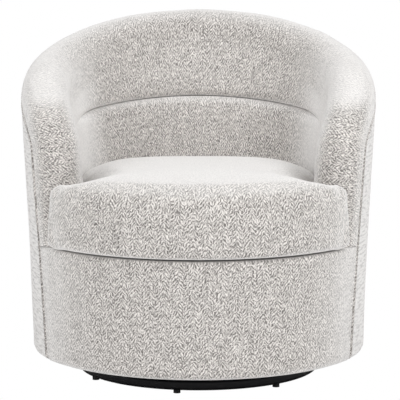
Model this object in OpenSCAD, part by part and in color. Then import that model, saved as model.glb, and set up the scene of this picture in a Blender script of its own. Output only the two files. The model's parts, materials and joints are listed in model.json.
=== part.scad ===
// Swivel rocker: an upholstered barrel chair that turns on a ball-bearing base and rocks on
// two pivot pins against coil springs. Millimetres. Front faces -Y, up is +Z, and the origin
// lies on the floor under the swivel axis.

/* [Barrel] */
// Outside radius of the barrel at its widest
barrel_r = 386; // [360:1:420]
// How much smaller the barrel's radius is near the floor
skirt_drop = 21; // [0:1:40]
// Rise of the widest place over the arm's front corner
widest_rise = 36; // [10:1:60]
// Height of the skirt's lower edge
skirt_z = 49; // [44:1:56]
// Radius of the skirt's lower edge
skirt_round = 16; // [8:1:20]
// Height of the back
back_h = 778; // [740:1:820]
// Drop from the back's top to the arm's rounded front corner
nose_drop = 233; // [200:1:260]
// Angle from the back to the arm's front, above
nose_angle = 121.5; // [112:0.5:128]
// Angle from the back to the arm's front, at the skirt
nose_angle_low = 127.5; // [112:0.5:132]
// Thickness of the upholstered wall at its rounded edge
wall_t = 104; // [90:1:116]
// Depth of the rolled edge, from its crest to the outside seam
roll_d = 60; // [54:1:70]
// Thickness of the outside cover with its wadding
skin_t = 6; // [4:1:8]

/* [Inner back] */
// Drop from the back's top to the middle of the channel across the back
channel_below = 194; // [180:1:210]
// Drop of the channel's bow from its middle to its ends
channel_drop = 42; // [20:1:60]
// How much further the channel curls down at its very ends
channel_curl = 15; // [0:1:30]
// Depth and radius of the channel's rounded lips
channel_round = 24; // [12:1:28]
// Padding of the upper back that comes on top of the wall, at the channel
upper_extra = 44; // [20:1:60]
// Padding of the lumbar roll at the channel
lumbar_top_extra = 52; // [30:1:70]
// Padding of the lumbar roll at the seat
lumbar_low_extra = 86; // [60:1:100]
// Padding of the inside arm that comes on top of the wall
arm_extra = 8; // [4:1:18]

/* [Seat] */
// Height of the seat cushion's lower edge
cushion_z = 301; // [290:1:320]
// Height of the cushion's upper seam at its front
cushion_edge_z = 440; // [420:1:452]
// Height of the cushion's crown
cushion_crown_z = 472; // [455:1:480]
// Room between the cushion's sides and the rolled edge
cushion_side_gap = 26; // [24:1:40]
// Room between the cushion's rear and the lumbar roll
cushion_rear_gap = 18; // [14:1:40]
// How far the ears of the cushion stay inside the barrel's side
cushion_ear_in = 65; // [60:1:86]
// Radius of the rounded upper and lower edges of the cushion
cushion_round = 22; // [12:1:30]
// How far the cushion's sides draw in at their middle
cushion_draw = 5; // [0:1:8]
// Thickness of the deck cloth under the cushion
deck_t = 3; // [2:1:5]

/* [Wooden frame] */
// Thickness of the plywood hoops
hoop_t = 18; // [12:1:20]
// Height of the board that carries the rocker mechanism
board_z = 140; // [136:1:160]
// Drop from the arm's front corner to the arm hoop
arm_hoop_drop = 45; // [25:1:80]
// Drop from the back's top to the back rail
back_rail_drop = 116; // [110:1:130]
// Width of the seat hoop
seat_hoop_w = 116; // [80:1:130]
// Clearance from the corners of the rocker rails to the dust cover
dust_gap = 15; // [5:1:20]
// Angle that one post takes up
post_angle = 8; // [4:1:10]
// Thickness of the webbing bands
webbing_t = 1.6; // [1:0.1:2]
// Width of a webbing band, as a share of the height that the three bands cross
webbing_share = 0.25; // [0.15:0.01:0.28]
// Diameter of the sinuous seat spring wire
seat_wire = 4; // [3:0.5:5]

/* [Base] */
// Outside radius of the base ring
ring_r = 265; // [230:1:270]
// Radial width of the base ring
ring_w = 24; // [20:1:40]
// Height of the base ring's section
ring_t = 22; // [16:1:24]
// Radius of the ring's rounded corners
ring_round = 7; // [3:1:8]
// Number of feet
foot_count = 7; // [5:1:9]
// Radius of a foot pad
foot_r = 7.5; // [6:0.5:10]
// Height of a foot pad
foot_t = 7; // [5:1:8]
// Width of a crossbar
bar_w = 40; // [30:1:60]
// Thickness of a crossbar
bar_t = 4; // [3:1:5]
// Thickness of the steel plates
plate_t = 3; // [2:0.5:4]
// Side of the bearing plates
plate_w = 180; // [170:1:200]
// Diameter of a bearing ball
ball_d = 8; // [6:1:9]
// Number of bearing balls
ball_count = 16; // [8:1:20]
// Radius of the ball circle
ball_circle_r = 62; // [50:1:70]
// Radius of the king bolt
king_r = 8; // [6:1:10]

/* [Rocker] */
// Height of the rocking axis
pivot_z = 90; // [86:1:96]
// Distance of the cradle's ears from the middle
ear_x = 112; // [105:1:120]
// Thickness of the ears and of the rocker rails
rail_t = 6; // [4:1:8]
// Radius of the pivot pins
pin_r = 6; // [5:0.5:8]
// Outside radius of the pivot bushes
bush_r = 9; // [8:0.5:12]
// Length of the rocker rails
rail_l = 280; // [240:1:300]
// Distance of the springs from the rocking axis
spring_y = 84; // [76:1:90]
// Distance of the springs from the middle
spring_x = 74; // [68:1:80]
// Outside radius of a coil spring
spring_r = 19; // [15:1:22]
// Diameter of the spring wire
spring_wire = 4.5; // [3:0.5:6]
// Curls of a coil spring
spring_curls = 6; // [4:1:8]
// Largest angle of the rocking, each way
rock_angle = 6; // [3:1:6]

/* [Hidden] */

$fn = 64;

// Small gap between soft pieces that touch
soft_gap = 0.3;
// Gap between the rolled edge and the faces that meet it
edge_gap = 1.2;
// Gap between rigid pieces that are fitted into each other
fit_gap = 0.05;
// Clearance of the running fits
run_gap = 0.06;
// Overrun of a cut past the faces that it goes through
over = 1;
// Half of the wall, its sheet's half length, and degrees into millimetres
wall_half = wall_t / 2;
skirt_r = barrel_r - skirt_drop;
nose_z = back_h - nose_drop;
widest_z = nose_z + widest_rise;
channel_z = back_h - channel_below;
arm_hoop_z = nose_z - arm_hoop_drop;
back_rail_z = back_h - back_rail_drop;
cushion_mid_w = barrel_r - wall_t - cushion_side_gap;
cushion_front_w = barrel_r - cushion_ear_in;
cushion_rear_y = barrel_r - wall_t - lumbar_low_extra - cushion_rear_gap;
deg_mm = PI / 180;
sheet_half = (barrel_r - wall_half) * nose_angle * deg_mm;
// How the barrel widens between its skirt and its widest place
taper_share = 1.3;
// Distance of the frame's inner face from the middle of the wall
frame_in = 10;
// Distance of the padding's hidden face from the middle of the wall
pad_out = frame_in - webbing_t - soft_gap;

// Colours
cloth_colour = [0.80, 0.78, 0.76];
wood_colour = [0.80, 0.66, 0.46];
black_colour = [0.06, 0.06, 0.07];
steel_colour = [0.60, 0.61, 0.63];
rubber_colour = [0.12, 0.12, 0.12];
felt_colour = [0.25, 0.25, 0.26];

// Outside radius of the barrel at a height
function skirt_cut(z) =
    let (e = max(0, min(skirt_round, z - skirt_z)))
    skirt_round - sqrt(skirt_round * skirt_round - (skirt_round - e) * (skirt_round - e));
function barrel_at(z) =
    let (t = max(0, min(1, (z - skirt_z) / (widest_z - skirt_z))))
    skirt_r + (barrel_r - skirt_r) * pow(t, taper_share) - skirt_cut(z);

// Angle of the arm's front at a height
function nose_at(z) =
    let (t = max(0, min(1, (nose_z - z) / (nose_z - skirt_z))))
    nose_angle + (nose_angle_low - nose_angle) * t;

// A place in the wall: s along the sheet from the middle of the back, z up, and n outwards
// from the middle of the wall
function wall_point(s, z, n) =
    let (a = s / sheet_half * nose_at(z), r = barrel_at(z) - wall_half + n)
    [r * sin(a), r * cos(a), z];

// A smooth curve through points
function curve_at(a, b, c, d, t) =
    0.5 * (2 * b + (c - a) * t + (2 * a - 5 * b + 4 * c - d) * t * t
    + (3 * b - a - 3 * c + d) * t * t * t);
function smooth_curve(pts, steps) =
    let (m = len(pts) - 1)
    concat([
        for (i = [0 : m - 1])
            for (j = [0 : steps - 1])
                curve_at(pts[max(0, i - 1)], pts[i], pts[i + 1], pts[min(m, i + 2)], j / steps)
    ], [pts[m]]);

// Crest of the rolled edge, from the foot of the arm's front to the middle of the back:
// shares of the sheet's half length, and of the rise from the nose to the back's top
crest_shares = [
    [1, -0.40], [1, -0.18], [0.986, 0], [0.93, 0.223], [0.82, 0.451], [0.738, 0.562],
    [0.59, 0.691], [0.426, 0.828], [0.262, 0.931], [0.131, 0.983], [0, 1]
];
crest_steps = 5;
crest_pts = concat(
    [[sheet_half, cushion_z]],
    [for (p = crest_shares) [p[0] * sheet_half, nose_z + p[1] * (back_h - nose_z)]]);
crest_half = smooth_curve(crest_pts, crest_steps);
crest_last = len(crest_half) - 1;
crest = concat(crest_half, [for (i = [1 : crest_last]) let (p = crest_half[crest_last - i]) [-p[0], p[1]]]);
crest_n = len(crest);

// Direction from the crest into the wall
function unit(v) = v / norm(v);
function crest_in(i) =
    i == 0 ? [-1, 0] : i == crest_n - 1 ? [1, 0] :
    let (t = unit(crest[i + 1] - crest[i - 1])) [-t[1], t[0]];
function crest_inset(i, d) = crest[i] + crest_in(i) * d;

// Height of the lower face of the rolled edge, at a place along the sheet
edge_pts = [for (i = [0 : crest_last]) crest_inset(i, roll_d)];
edge_table = [for (i = [crest_last : -1 : 0]) if (edge_pts[i][1] > nose_z - roll_d) edge_pts[i]];
function edge_z(s) = lookup(abs(s), edge_table) - edge_gap;
sheet_front = sheet_half - roll_d;

// The channel across the back and the padding of the inner faces
pad_end_share = 0.70;
pad_end = sheet_half * pad_end_share;
function back_share(s) = let (t = min(1, abs(s) / pad_end)) 1 - t * t * (3 - 2 * t);
bow_share = 1.8;
curl_share = 12;
function channel_at(s) =
    let (t = min(1, abs(s) / pad_end))
    channel_z - channel_drop * pow(t, bow_share) - channel_curl * pow(t, curl_share);
function lip(e) =
    let (c = max(0, channel_round - e))
    channel_round - sqrt(max(0, channel_round * channel_round - c * c));
// How soon the lips reach their depth, from the padding's ends
lip_share = 5;
function upper_n(s, z) =
    let (low = channel_at(s), top = edge_z(s), t = (top - z) / (top - low))
    -wall_half - arm_extra * sin(90 * t) - (upper_extra - arm_extra) * back_share(s) * t
    + lip(z - low) * min(1, lip_share * back_share(s));
function lumbar_n(s, z) =
    let (top = channel_at(s), t = (top - z) / (top - cushion_z), g = back_share(s))
    -wall_half - arm_extra
    - (lumbar_top_extra - arm_extra + (lumbar_low_extra - lumbar_top_extra) * min(1, 2 * t)) * g
    + lip(top - z) * min(1, lip_share * g);
function arm_n(s, z) =
    let (top = edge_z(s), t = min(1, (top - z) / wall_t))
    -wall_half - arm_extra * sin(90 * t);

// A closed slab between two like grids of points, the second one outside
module slab(inside, outside) {
    m = len(inside);
    k = len(inside[0]);
    pts = concat([for (c = outside) for (p = c) p], [for (c = inside) for (p = c) p]);
    function o(i, j) = i * k + j;
    function n(i, j) = m * k + i * k + j;
    cells = [for (i = [0 : m - 2]) for (j = [0 : k - 2]) [i, j]];
    faces = concat(
        [for (c = cells) [o(c[0], c[1]), o(c[0] + 1, c[1]), o(c[0] + 1, c[1] + 1)]],
        [for (c = cells) [o(c[0], c[1]), o(c[0] + 1, c[1] + 1), o(c[0], c[1] + 1)]],
        [for (c = cells) [n(c[0], c[1]), n(c[0] + 1, c[1] + 1), n(c[0] + 1, c[1])]],
        [for (c = cells) [n(c[0], c[1]), n(c[0], c[1] + 1), n(c[0] + 1, c[1] + 1)]],
        [for (i = [0 : m - 2]) [o(i + 1, 0), o(i, 0), n(i, 0)]],
        [for (i = [0 : m - 2]) [o(i + 1, 0), n(i, 0), n(i + 1, 0)]],
        [for (i = [0 : m - 2]) [o(i, k - 1), o(i + 1, k - 1), n(i, k - 1)]],
        [for (i = [0 : m - 2]) [o(i + 1, k - 1), n(i + 1, k - 1), n(i, k - 1)]],
        [for (j = [0 : k - 2]) [o(0, j), o(0, j + 1), n(0, j + 1)]],
        [for (j = [0 : k - 2]) [o(0, j), n(0, j + 1), n(0, j)]],
        [for (j = [0 : k - 2]) [o(m - 1, j + 1), o(m - 1, j), n(m - 1, j)]],
        [for (j = [0 : k - 2]) [o(m - 1, j + 1), n(m - 1, j), n(m - 1, j + 1)]]);
    polyhedron(points = pts, faces = faces, convexity = 8);
}

// A closed body through rings of points, with a fan over each end
module loft(rings) {
    m = len(rings);
    k = len(rings[0]);
    function middle(r) = [for (x = [0 : 2]) let (v = [for (p = r) p[x]]) v * [for (q = v) 1] / k];
    pts = concat([for (r = rings) for (p = r) p], [middle(rings[0]), middle(rings[m - 1])]);
    sides = [for (i = [0 : m - 2]) for (j = [0 : k - 1]) [i, j, (j + 1) % k]];
    faces = concat(
        [for (c = sides) [c[0] * k + c[1], c[0] * k + c[2], (c[0] + 1) * k + c[2]]],
        [for (c = sides) [c[0] * k + c[1], (c[0] + 1) * k + c[2], (c[0] + 1) * k + c[1]]],
        [for (j = [0 : k - 1]) [m * k, (j + 1) % k, j]],
        [for (j = [0 : k - 1]) [m * k + 1, (m - 1) * k + j, (m - 1) * k + (j + 1) % k]]);
    polyhedron(points = pts, faces = faces, convexity = 8);
}

// Rolled edge of the wall between two stations of the crest
roll_arc_steps = 10;
function roll_ring(i) = [
    for (q = [-1 : roll_arc_steps + 1])
        let (f = 180 * max(0, min(roll_arc_steps, q)) / roll_arc_steps,
             d = q < 0 || q > roll_arc_steps ? roll_d : wall_half * (1 - sin(f)),
             p = crest_inset(i, d))
        wall_point(p[0], p[1], wall_half * cos(f))
];
module roll(from, to) {
    color(cloth_colour) loft([for (i = [from : to]) roll_ring(i)]);
}
// How many points of the crest the arms' rolls cover
arm_crest_count = 5;
arm_stations = arm_crest_count * crest_steps;
module arm_roll_right() {
    roll(0, arm_stations);
}
module arm_roll_left() {
    roll(crest_n - 1 - arm_stations, crest_n - 1);
}
module back_roll() {
    roll(arm_stations, crest_n - 1 - arm_stations);
}

// Padding between two places along the sheet: rise gives the height of a row there, and bulge
// the place of the inner face from the middle of the wall
pad_rows = 9;
module padding(from, to, columns, rise, bulge) {
    stops = [for (i = [0 : columns]) from + (to - from) * i / columns];
    rows = [for (j = [0 : pad_rows]) j / pad_rows];
    color(cloth_colour) slab(
        [for (s = stops) [for (t = rows) let (z = rise(s, t)) wall_point(s, z, bulge(s, z))]],
        [for (s = stops) [for (t = rows) wall_point(s, rise(s, t), pad_out)]]);
}
// Rows lie closer together near the channel, where the lips are rounded
function between(a, b, t) = a + (b - a) * t;
function near_low(t) = t * t;
function near_top(t) = 1 - (1 - t) * (1 - t);
function arm_rise(s, t) = between(cushion_z, edge_z(s), t);
function upper_rise(s, t) = between(channel_at(s) + soft_gap, edge_z(s), near_low(t));
function lumbar_rise(s, t) = between(cushion_z, channel_at(s), near_top(t));

arm_columns = 12;
module inner_arm(from, to) {
    padding(from, to, arm_columns, function (s, t) arm_rise(s, t), function (s, z) arm_n(s, z));
}
module inner_arm_right() {
    inner_arm(pad_end + soft_gap, sheet_front - edge_gap);
}
module inner_arm_left() {
    inner_arm(edge_gap - sheet_front, -pad_end - soft_gap);
}

back_columns = 24;
module inner_back() {
    padding(-pad_end, pad_end, back_columns,
        function (s, t) upper_rise(s, t), function (s, z) upper_n(s, z));
}
module lumbar_pad() {
    padding(-pad_end, pad_end, back_columns,
        function (s, t) lumbar_rise(s, t), function (s, z) lumbar_n(s, z));
}

// Outside cover, from seam to seam round the back, and the apron round the front
wrap_columns = 40;
wrap_rows = 6;
hem_shares = [0, 0.12, 0.35, 0.65];
function cover_rows(top, count) = concat(
    [for (c = hem_shares) skirt_z + c * skirt_round],
    [for (j = [0 : count]) between(skirt_z + skirt_round, top, j / count)]);
wrap_front = sheet_front - edge_gap;
module outer_wrap() {
    stops = [for (i = [0 : wrap_columns]) wrap_front * (2 * i / wrap_columns - 1)];
    color(cloth_colour) slab(
        [for (s = stops) [for (z = cover_rows(edge_z(s), wrap_rows)) wall_point(s, z, wall_half - skin_t)]],
        [for (s = stops) [for (z = cover_rows(edge_z(s), wrap_rows)) wall_point(s, z, wall_half)]]);
}
apron_columns = 24;
apron_rows = 4;
apron_top = cushion_z - soft_gap;
function apron_point(u, z, n) =
    let (a = sheet_front / sheet_half * nose_at(z), b = a + (360 - 2 * a) * u,
         r = barrel_at(z) - wall_half + n)
    [r * sin(b), r * cos(b), z];
module front_apron() {
    rows = cover_rows(apron_top, apron_rows);
    color(cloth_colour) slab(
        [for (i = [0 : apron_columns]) [for (z = rows)
            apron_point(i / apron_columns, z, wall_half - skin_t)]],
        [for (i = [0 : apron_columns]) [for (z = rows)
            apron_point(i / apron_columns, z, wall_half)]]);
}

// Seat cushion: a T in plan, whose ears come in front of the arms
arm_end_r = barrel_at(cushion_z) - wall_half;
arm_end_a = nose_at(cushion_z) - wall_half / arm_end_r / deg_mm;
arm_end = [arm_end_r * sin(arm_end_a), arm_end_r * cos(arm_end_a)];
ear_gap = 12;
ear_turns = [156, 186, 216, 246, 276];
rear_shares = [
    [0, 1], [0.187, 0.999], [0.39, 0.969], [0.605, 0.868], [0.806, 0.667], [0.95, 0.365], [1, 0]
];
front_turns = [51, 45, 37, 29, 20, 10, 0];
front_reach = min(barrel_r, cushion_front_w / sin(front_turns[0]));
cushion_half = concat(
    [for (p = rear_shares) [p[0] * cushion_mid_w, p[1] * cushion_rear_y]],
    [for (f = ear_turns) arm_end + (wall_half + ear_gap) * [cos(f), sin(f)]],
    [[cushion_front_w, arm_end[1] - wall_half - ear_gap - cushion_round / 2]],
    [for (f = front_turns) [front_reach * sin(f), -barrel_r * cos(f)]]);
cushion_mid = [0, -wall_t];
cushion_last = len(cushion_half) - 1;
cushion_line = concat(cushion_half,
    [for (i = [1 : cushion_last - 1]) let (p = cushion_half[cushion_last - i]) [-p[0], p[1]]]);
function cushion_ring(z, inset, scale_share) = [
    for (p = cushion_line)
        let (v = p - cushion_mid, w = cushion_mid + v * (1 - inset / norm(v)) * scale_share)
        [w[0], w[1], z]
];
crown_shares = [0.97, 0.88, 0.72, 0.5, 0.25];
round_turns = [0, 30, 60, 90];
module seat_cushion() {
    low = cushion_z + cushion_round;
    high = cushion_edge_z - cushion_round;
    rings = concat(
        [for (f = round_turns)
            cushion_ring(low - cushion_round * cos(f), cushion_round * (1 - sin(f)), 1)],
        [cushion_ring((low + high) / 2, cushion_draw, 1)],
        [for (f = round_turns)
            cushion_ring(high + cushion_round * sin(f), cushion_round * (1 - cos(f)), 1)],
        [for (k = crown_shares)
            cushion_ring(between(cushion_edge_z, cushion_crown_z, 1 - k * k), cushion_round, k)]);
    color(cloth_colour) loft(rings);
}

// Plywood hoops, posts and rails inside the wall
hoop_gap = 0.8;
function hoop_out(z) = barrel_at(z) - skin_t - hoop_gap;
function hoop_in(z) = barrel_at(z) - wall_half + frame_in;
bottom_hoop_z = skirt_z + skirt_round;
deck_z = cushion_z - soft_gap - deck_t;
seat_hoop_z = deck_z - hoop_t;
seat_hoop_in = hoop_out(seat_hoop_z) - seat_hoop_w;
arm_hoop_a = nose_angle - roll_d / (barrel_r - wall_half) / deg_mm - post_angle / 2;
back_rail_a = 44;

// Part of a ring between two angles from the middle of the back, either side of it
module ring_part(inner, outer, low, high, middle, half) {
    translate([0, 0, low]) rotate([0, 0, 90 - middle - half])
        rotate_extrude(angle = 2 * half)
            translate([inner, 0]) square([outer - inner, high - low]);
}
module full_ring(inner, outer, low, thick) {
    translate([0, 0, low]) difference() {
        cylinder(r = outer, h = thick);
        translate([0, 0, -over]) cylinder(r = inner, h = thick + 2 * over);
    }
}
// A post fits between the hoops at both of its ends
module posts(low, high, angles) {
    for (a = angles) ring_part(hoop_in(high), hoop_out(low), low, high, a, post_angle / 2);
}
lower_post_count = 8;
lower_angles = [for (i = [0 : lower_post_count - 1]) (i + 0.5) * 360 / lower_post_count];
upper_angles = [for (i = [-3 : 3]) i * (arm_hoop_a - post_angle / 2) / 3];
back_angles = [for (i = [-1 : 1]) i * (back_rail_a - post_angle / 2)];

module bottom_hoop() {
    color(wood_colour) full_ring(hoop_in(bottom_hoop_z), hoop_out(bottom_hoop_z), bottom_hoop_z, hoop_t);
}
module lower_posts() {
    color(wood_colour) posts(bottom_hoop_z + hoop_t, board_z, lower_angles);
}
module middle_posts() {
    color(wood_colour) posts(board_z + hoop_t, seat_hoop_z, lower_angles);
}
module seat_hoop() {
    color(wood_colour) full_ring(seat_hoop_in, hoop_out(seat_hoop_z), seat_hoop_z, hoop_t);
}
module upper_posts() {
    color(wood_colour) posts(deck_z, arm_hoop_z, upper_angles);
}
module arm_hoop() {
    color(wood_colour)
        ring_part(hoop_in(arm_hoop_z), hoop_out(arm_hoop_z), arm_hoop_z, arm_hoop_z + hoop_t,
            0, arm_hoop_a);
}
module back_posts() {
    color(wood_colour) posts(arm_hoop_z + hoop_t, back_rail_z, back_angles);
}
module back_rail() {
    color(wood_colour)
        ring_part(hoop_in(back_rail_z), hoop_out(back_rail_z), back_rail_z, back_rail_z + hoop_t,
            0, back_rail_a);
}

// Webbing bands across the inside of the frame
webbing_shares = [0.2, 0.5, 0.8];
webbing_w = (arm_hoop_z - cushion_z) * webbing_share;
module back_webbing() {
    color(felt_colour) for (t = webbing_shares)
        let (z = between(cushion_z, arm_hoop_z, t), r = hoop_in(z + webbing_w / 2))
        ring_part(r - webbing_t, r, z - webbing_w / 2, z + webbing_w / 2, 0, arm_hoop_a);
}

// Seat springs: flat zigzag wires from the front of the seat hoop to its back
spring_rows = 5;
row_pitch_share = 0.32;
zig_share = 0.104;
spring_row_pitch = seat_hoop_in * row_pitch_share;
zig_w = seat_hoop_in * zig_share;
zig_count = 12;
clip_w = 14;
clip_t = 8;
seat_spring_z = deck_z - seat_wire;
function row_x(i) = (i - (spring_rows - 1) / 2) * spring_row_pitch;
function row_half(x) = sqrt(pow(seat_hoop_in, 2) - pow(x, 2)) - seat_wire;
module seat_springs() {
    color(steel_colour) for (i = [0 : spring_rows - 1])
        let (half = row_half(row_x(i)), pitch = 2 * half / zig_count,
             line = [for (k = [0 : zig_count])
                 [k == 0 || k == zig_count ? 0 : zig_w * (k % 2 == 0 ? 1 : -1), k * pitch - half]])
        translate([row_x(i), 0, seat_spring_z]) linear_extrude(height = seat_wire)
            polygon(concat([for (p = line) [p[0] - seat_wire, p[1]]],
                [for (k = [zig_count : -1 : 0]) [line[k][0] + seat_wire, line[k][1]]]));
}
// A clip reaches the hoop with its outer corner
function clip_end(x) = sqrt(pow(seat_hoop_in, 2) - pow(abs(x) + clip_w / 2, 2)) - fit_gap;
module spring_clips() {
    color(steel_colour) for (i = [0 : spring_rows - 1]) both_ends()
        translate([row_x(i) - clip_w / 2, clip_end(row_x(i)) - clip_w, seat_spring_z - clip_t])
            cube([clip_w, clip_w, clip_t]);
}
module both_ends() {
    children();
    mirror([0, 1, 0]) children();
}
deck_edge = 5;
module seat_deck() {
    color(felt_colour) translate([0, 0, deck_z])
        cylinder(r = hoop_in(arm_hoop_z) - deck_edge, h = deck_t);
}

// Base: a black ring on feet, with two crossed bars that carry the lower bearing plate
ring_mid = ring_r - ring_w / 2;
ring_top = foot_t + ring_t;
lower_plate_z = ring_top + bar_t;
ball_gap = 0.02;
ball_z = lower_plate_z + plate_t + ball_d / 2 + ball_gap;
upper_plate_z = ball_z + ball_d / 2 + ball_gap;
first_foot_a = 10.4;
stud_r = 3;
stud_l = 8;
rivet_r = 3;
rivet_head_r = 6;
rivet_head_t = 2.5;
plate_rivet_at = 76;
plate_corner = 14;
function foot_angle(i) = -90 - first_foot_a - 360 * i / foot_count;

module at_feet() {
    for (i = [0 : foot_count - 1]) rotate([0, 0, foot_angle(i)]) translate([ring_mid, 0, 0]) children();
}
module at_quarters(r) {
    for (i = [0 : 3]) rotate([0, 0, 90 * i]) translate([r, 0, 0]) children();
}
module rounded_box_section(w, h, r) {
    translate([r, 0]) square([w - 2 * r, h]);
    translate([0, r]) square([w, h - 2 * r]);
    for (x = [r, w - r]) for (y = [r, h - r]) translate([x, y]) circle(r = r);
}
module base_ring() {
    color(black_colour) difference() {
        translate([0, 0, foot_t]) rotate_extrude() translate([ring_r - ring_w, 0])
            rounded_box_section(ring_w, ring_t, ring_round);
        at_feet() translate([0, 0, foot_t - over]) cylinder(r = stud_r + fit_gap, h = stud_l + over);
        at_quarters(ring_mid) translate([0, 0, ring_top - stud_l])
            cylinder(r = rivet_r + fit_gap, h = stud_l + over);
    }
}
module foot_pads() {
    color(rubber_colour) at_feet() cylinder(r = foot_r, h = foot_t);
}
module foot_studs() {
    color(steel_colour) at_feet() translate([0, 0, foot_t]) cylinder(r = stud_r, h = stud_l);
}
bar_l = 2 * (ring_r - ring_round);
module hole(r, depth) {
    translate([0, 0, -over]) cylinder(r = r + fit_gap, h = depth + 2 * over);
}
module base_crossbars() {
    color(black_colour) translate([0, 0, ring_top]) difference() {
        union() for (turn = [0, 90]) rotate([0, 0, turn])
            translate([-bar_l / 2, -bar_w / 2, 0]) cube([bar_l, bar_w, bar_t]);
        hole(king_r, bar_t);
        at_quarters(ring_mid) hole(rivet_r, bar_t);
        at_quarters(plate_rivet_at) hole(rivet_r, bar_t);
    }
}
module rivet(low, high) {
    translate([0, 0, low]) cylinder(r = rivet_r, h = high - low);
    translate([0, 0, high]) cylinder(r = rivet_head_r, h = rivet_head_t);
}
module crossbar_rivets() {
    color(steel_colour) at_quarters(ring_mid) rivet(ring_top - stud_l, ring_top + bar_t);
}
module plate_rivets() {
    color(steel_colour) at_quarters(plate_rivet_at) rivet(ring_top, lower_plate_z + plate_t);
}
module square_plate(thick) {
    translate([-plate_w / 2, -plate_w / 2, 0]) linear_extrude(height = thick)
        rounded_box_section(plate_w, plate_w, plate_corner);
}
module lower_bearing_plate() {
    color(steel_colour) translate([0, 0, lower_plate_z]) difference() {
        square_plate(plate_t);
        hole(king_r, plate_t);
        at_quarters(plate_rivet_at) hole(rivet_r, plate_t);
    }
}

// Ball bearing between the two plates
cage_w = 2 * ball_d;
cage_t = ball_d / 2;
cage_gap = 0.3;
module at_balls() {
    for (i = [0 : ball_count - 1])
        rotate([0, 0, 360 * i / ball_count]) translate([ball_circle_r, 0, ball_z]) children();
}
module ball_cage() {
    color(steel_colour) difference() {
        full_ring(ball_circle_r - cage_w / 2, ball_circle_r + cage_w / 2, ball_z - cage_t / 2, cage_t);
        at_balls() translate([0, 0, -cage_t / 2 - over])
            cylinder(r = ball_d / 2 + cage_gap, h = cage_t + 2 * over);
    }
}
module bearing_balls() {
    color(steel_colour) at_balls() sphere(d = ball_d);
}

// King bolt through both plates, with its washer and nut
king_head_r = 13;
king_head_t = 6;
king_washer_r = 18;
king_washer_t = 2;
king_nut_t = 8;
king_gap = 0.1;
king_washer_z = upper_plate_z + plate_t + king_gap;
king_nut_z = king_washer_z + king_washer_t;
module king_bolt() {
    color(steel_colour) {
        translate([0, 0, ring_top - king_head_t]) cylinder(r = king_head_r, h = king_head_t, $fn = 6);
        translate([0, 0, ring_top - king_head_t / 2])
            cylinder(r = king_r, h = king_nut_z + king_nut_t + king_washer_t - ring_top + king_head_t / 2);
    }
}
module king_washer() {
    color(steel_colour) full_ring(king_r + fit_gap, king_washer_r, king_washer_z, king_washer_t);
}
module king_nut() {
    color(steel_colour) translate([0, 0, king_nut_z]) difference() {
        cylinder(r = king_head_r, h = king_nut_t, $fn = 6);
        translate([0, 0, -over]) cylinder(r = king_r + fit_gap, h = king_nut_t + 2 * over);
    }
}

// Upper bearing plate and the cradle that it carries
cradle_l = 220;
cradle_t = 4;
cradle_hole_r = 26;
cradle_rivet = [80, 30];
cradle_z = upper_plate_z + plate_t;
cradle_top = cradle_z + cradle_t;
ear_w = 60;
lug_r = 20;
module at_cradle_rivets() {
    for (x = [-1, 1]) for (y = [-1, 1]) translate([x * cradle_rivet[0], y * cradle_rivet[1], 0]) children();
}
module upper_bearing_plate() {
    color(steel_colour) translate([0, 0, upper_plate_z]) difference() {
        square_plate(plate_t);
        translate([0, 0, -over]) cylinder(r = king_r + run_gap, h = plate_t + 2 * over);
        at_cradle_rivets() translate([0, 0, -over]) cylinder(r = rivet_r + fit_gap, h = plate_t + 2 * over);
    }
}
module sideways(x) {
    translate([x, 0, 0]) rotate([90, 0, 90]) children();
}
module pivot_ear() {
    difference() {
        union() {
            translate([-ear_w / 2, cradle_z]) square([ear_w, pivot_z - cradle_z - lug_r / 2]);
            translate([-lug_r, cradle_z]) square([2 * lug_r, pivot_z - cradle_z]);
            translate([0, pivot_z]) circle(r = lug_r);
        }
        translate([0, pivot_z]) circle(r = pin_r + fit_gap);
    }
}
module rocker_cradle() {
    color(black_colour) {
        difference() {
            translate([-ear_x - rail_t / 2, -cradle_l / 2, cradle_z])
                cube([2 * ear_x + rail_t, cradle_l, cradle_t]);
            translate([0, 0, cradle_z - over]) cylinder(r = cradle_hole_r, h = cradle_t + 2 * over);
            at_cradle_rivets() translate([0, 0, cradle_z]) hole(rivet_r, cradle_t);
        }
        for (side = [-1, 1])
            sideways(side * ear_x - rail_t / 2) linear_extrude(height = rail_t) pivot_ear();
    }
}
module cradle_rivets() {
    color(steel_colour) at_cradle_rivets() rivet(upper_plate_z, cradle_top);
}

// Pivot pins with their clips, and the bushes that turn on them
rail_gap = 4;
rail_x = ear_x + rail_t + rail_gap;
bush_over = 2;
bush_gap = 0.1;
pin_head_t = 3;
clip_ring_t = 2;
clip_ring_w = 4;
ear_in = ear_x - rail_t / 2;
ear_out = ear_x + rail_t / 2;
rail_out = rail_x + rail_t / 2;
bush_l = rail_out + bush_over - ear_out - bush_gap;
pin_end = rail_out + bush_over + bush_gap + 2 * clip_ring_t;
module both_sides() {
    children();
    mirror([1, 0, 0]) children();
}
module pivot_pins() {
    color(steel_colour) both_sides() translate([0, 0, pivot_z]) {
        sideways(ear_in - pin_head_t) cylinder(r = bush_r, h = pin_head_t);
        sideways(ear_in - pin_head_t / 2) cylinder(r = pin_r, h = pin_end - ear_in + pin_head_t / 2);
    }
}
module pin_clips() {
    color(steel_colour) both_sides() translate([0, 0, pivot_z]) sideways(rail_out + bush_over + bush_gap)
        difference() {
            cylinder(r = pin_r + clip_ring_w, h = clip_ring_t);
            translate([0, 0, -over]) cylinder(r = pin_r + fit_gap, h = clip_ring_t + 2 * over);
        }
}
module pivot_bushes() {
    color(felt_colour) both_sides() translate([0, 0, pivot_z]) sideways(ear_out + bush_gap) difference() {
        cylinder(r = bush_r, h = bush_l);
        translate([0, 0, -over]) cylinder(r = pin_r + run_gap, h = bush_l + 2 * over);
    }
}

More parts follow.
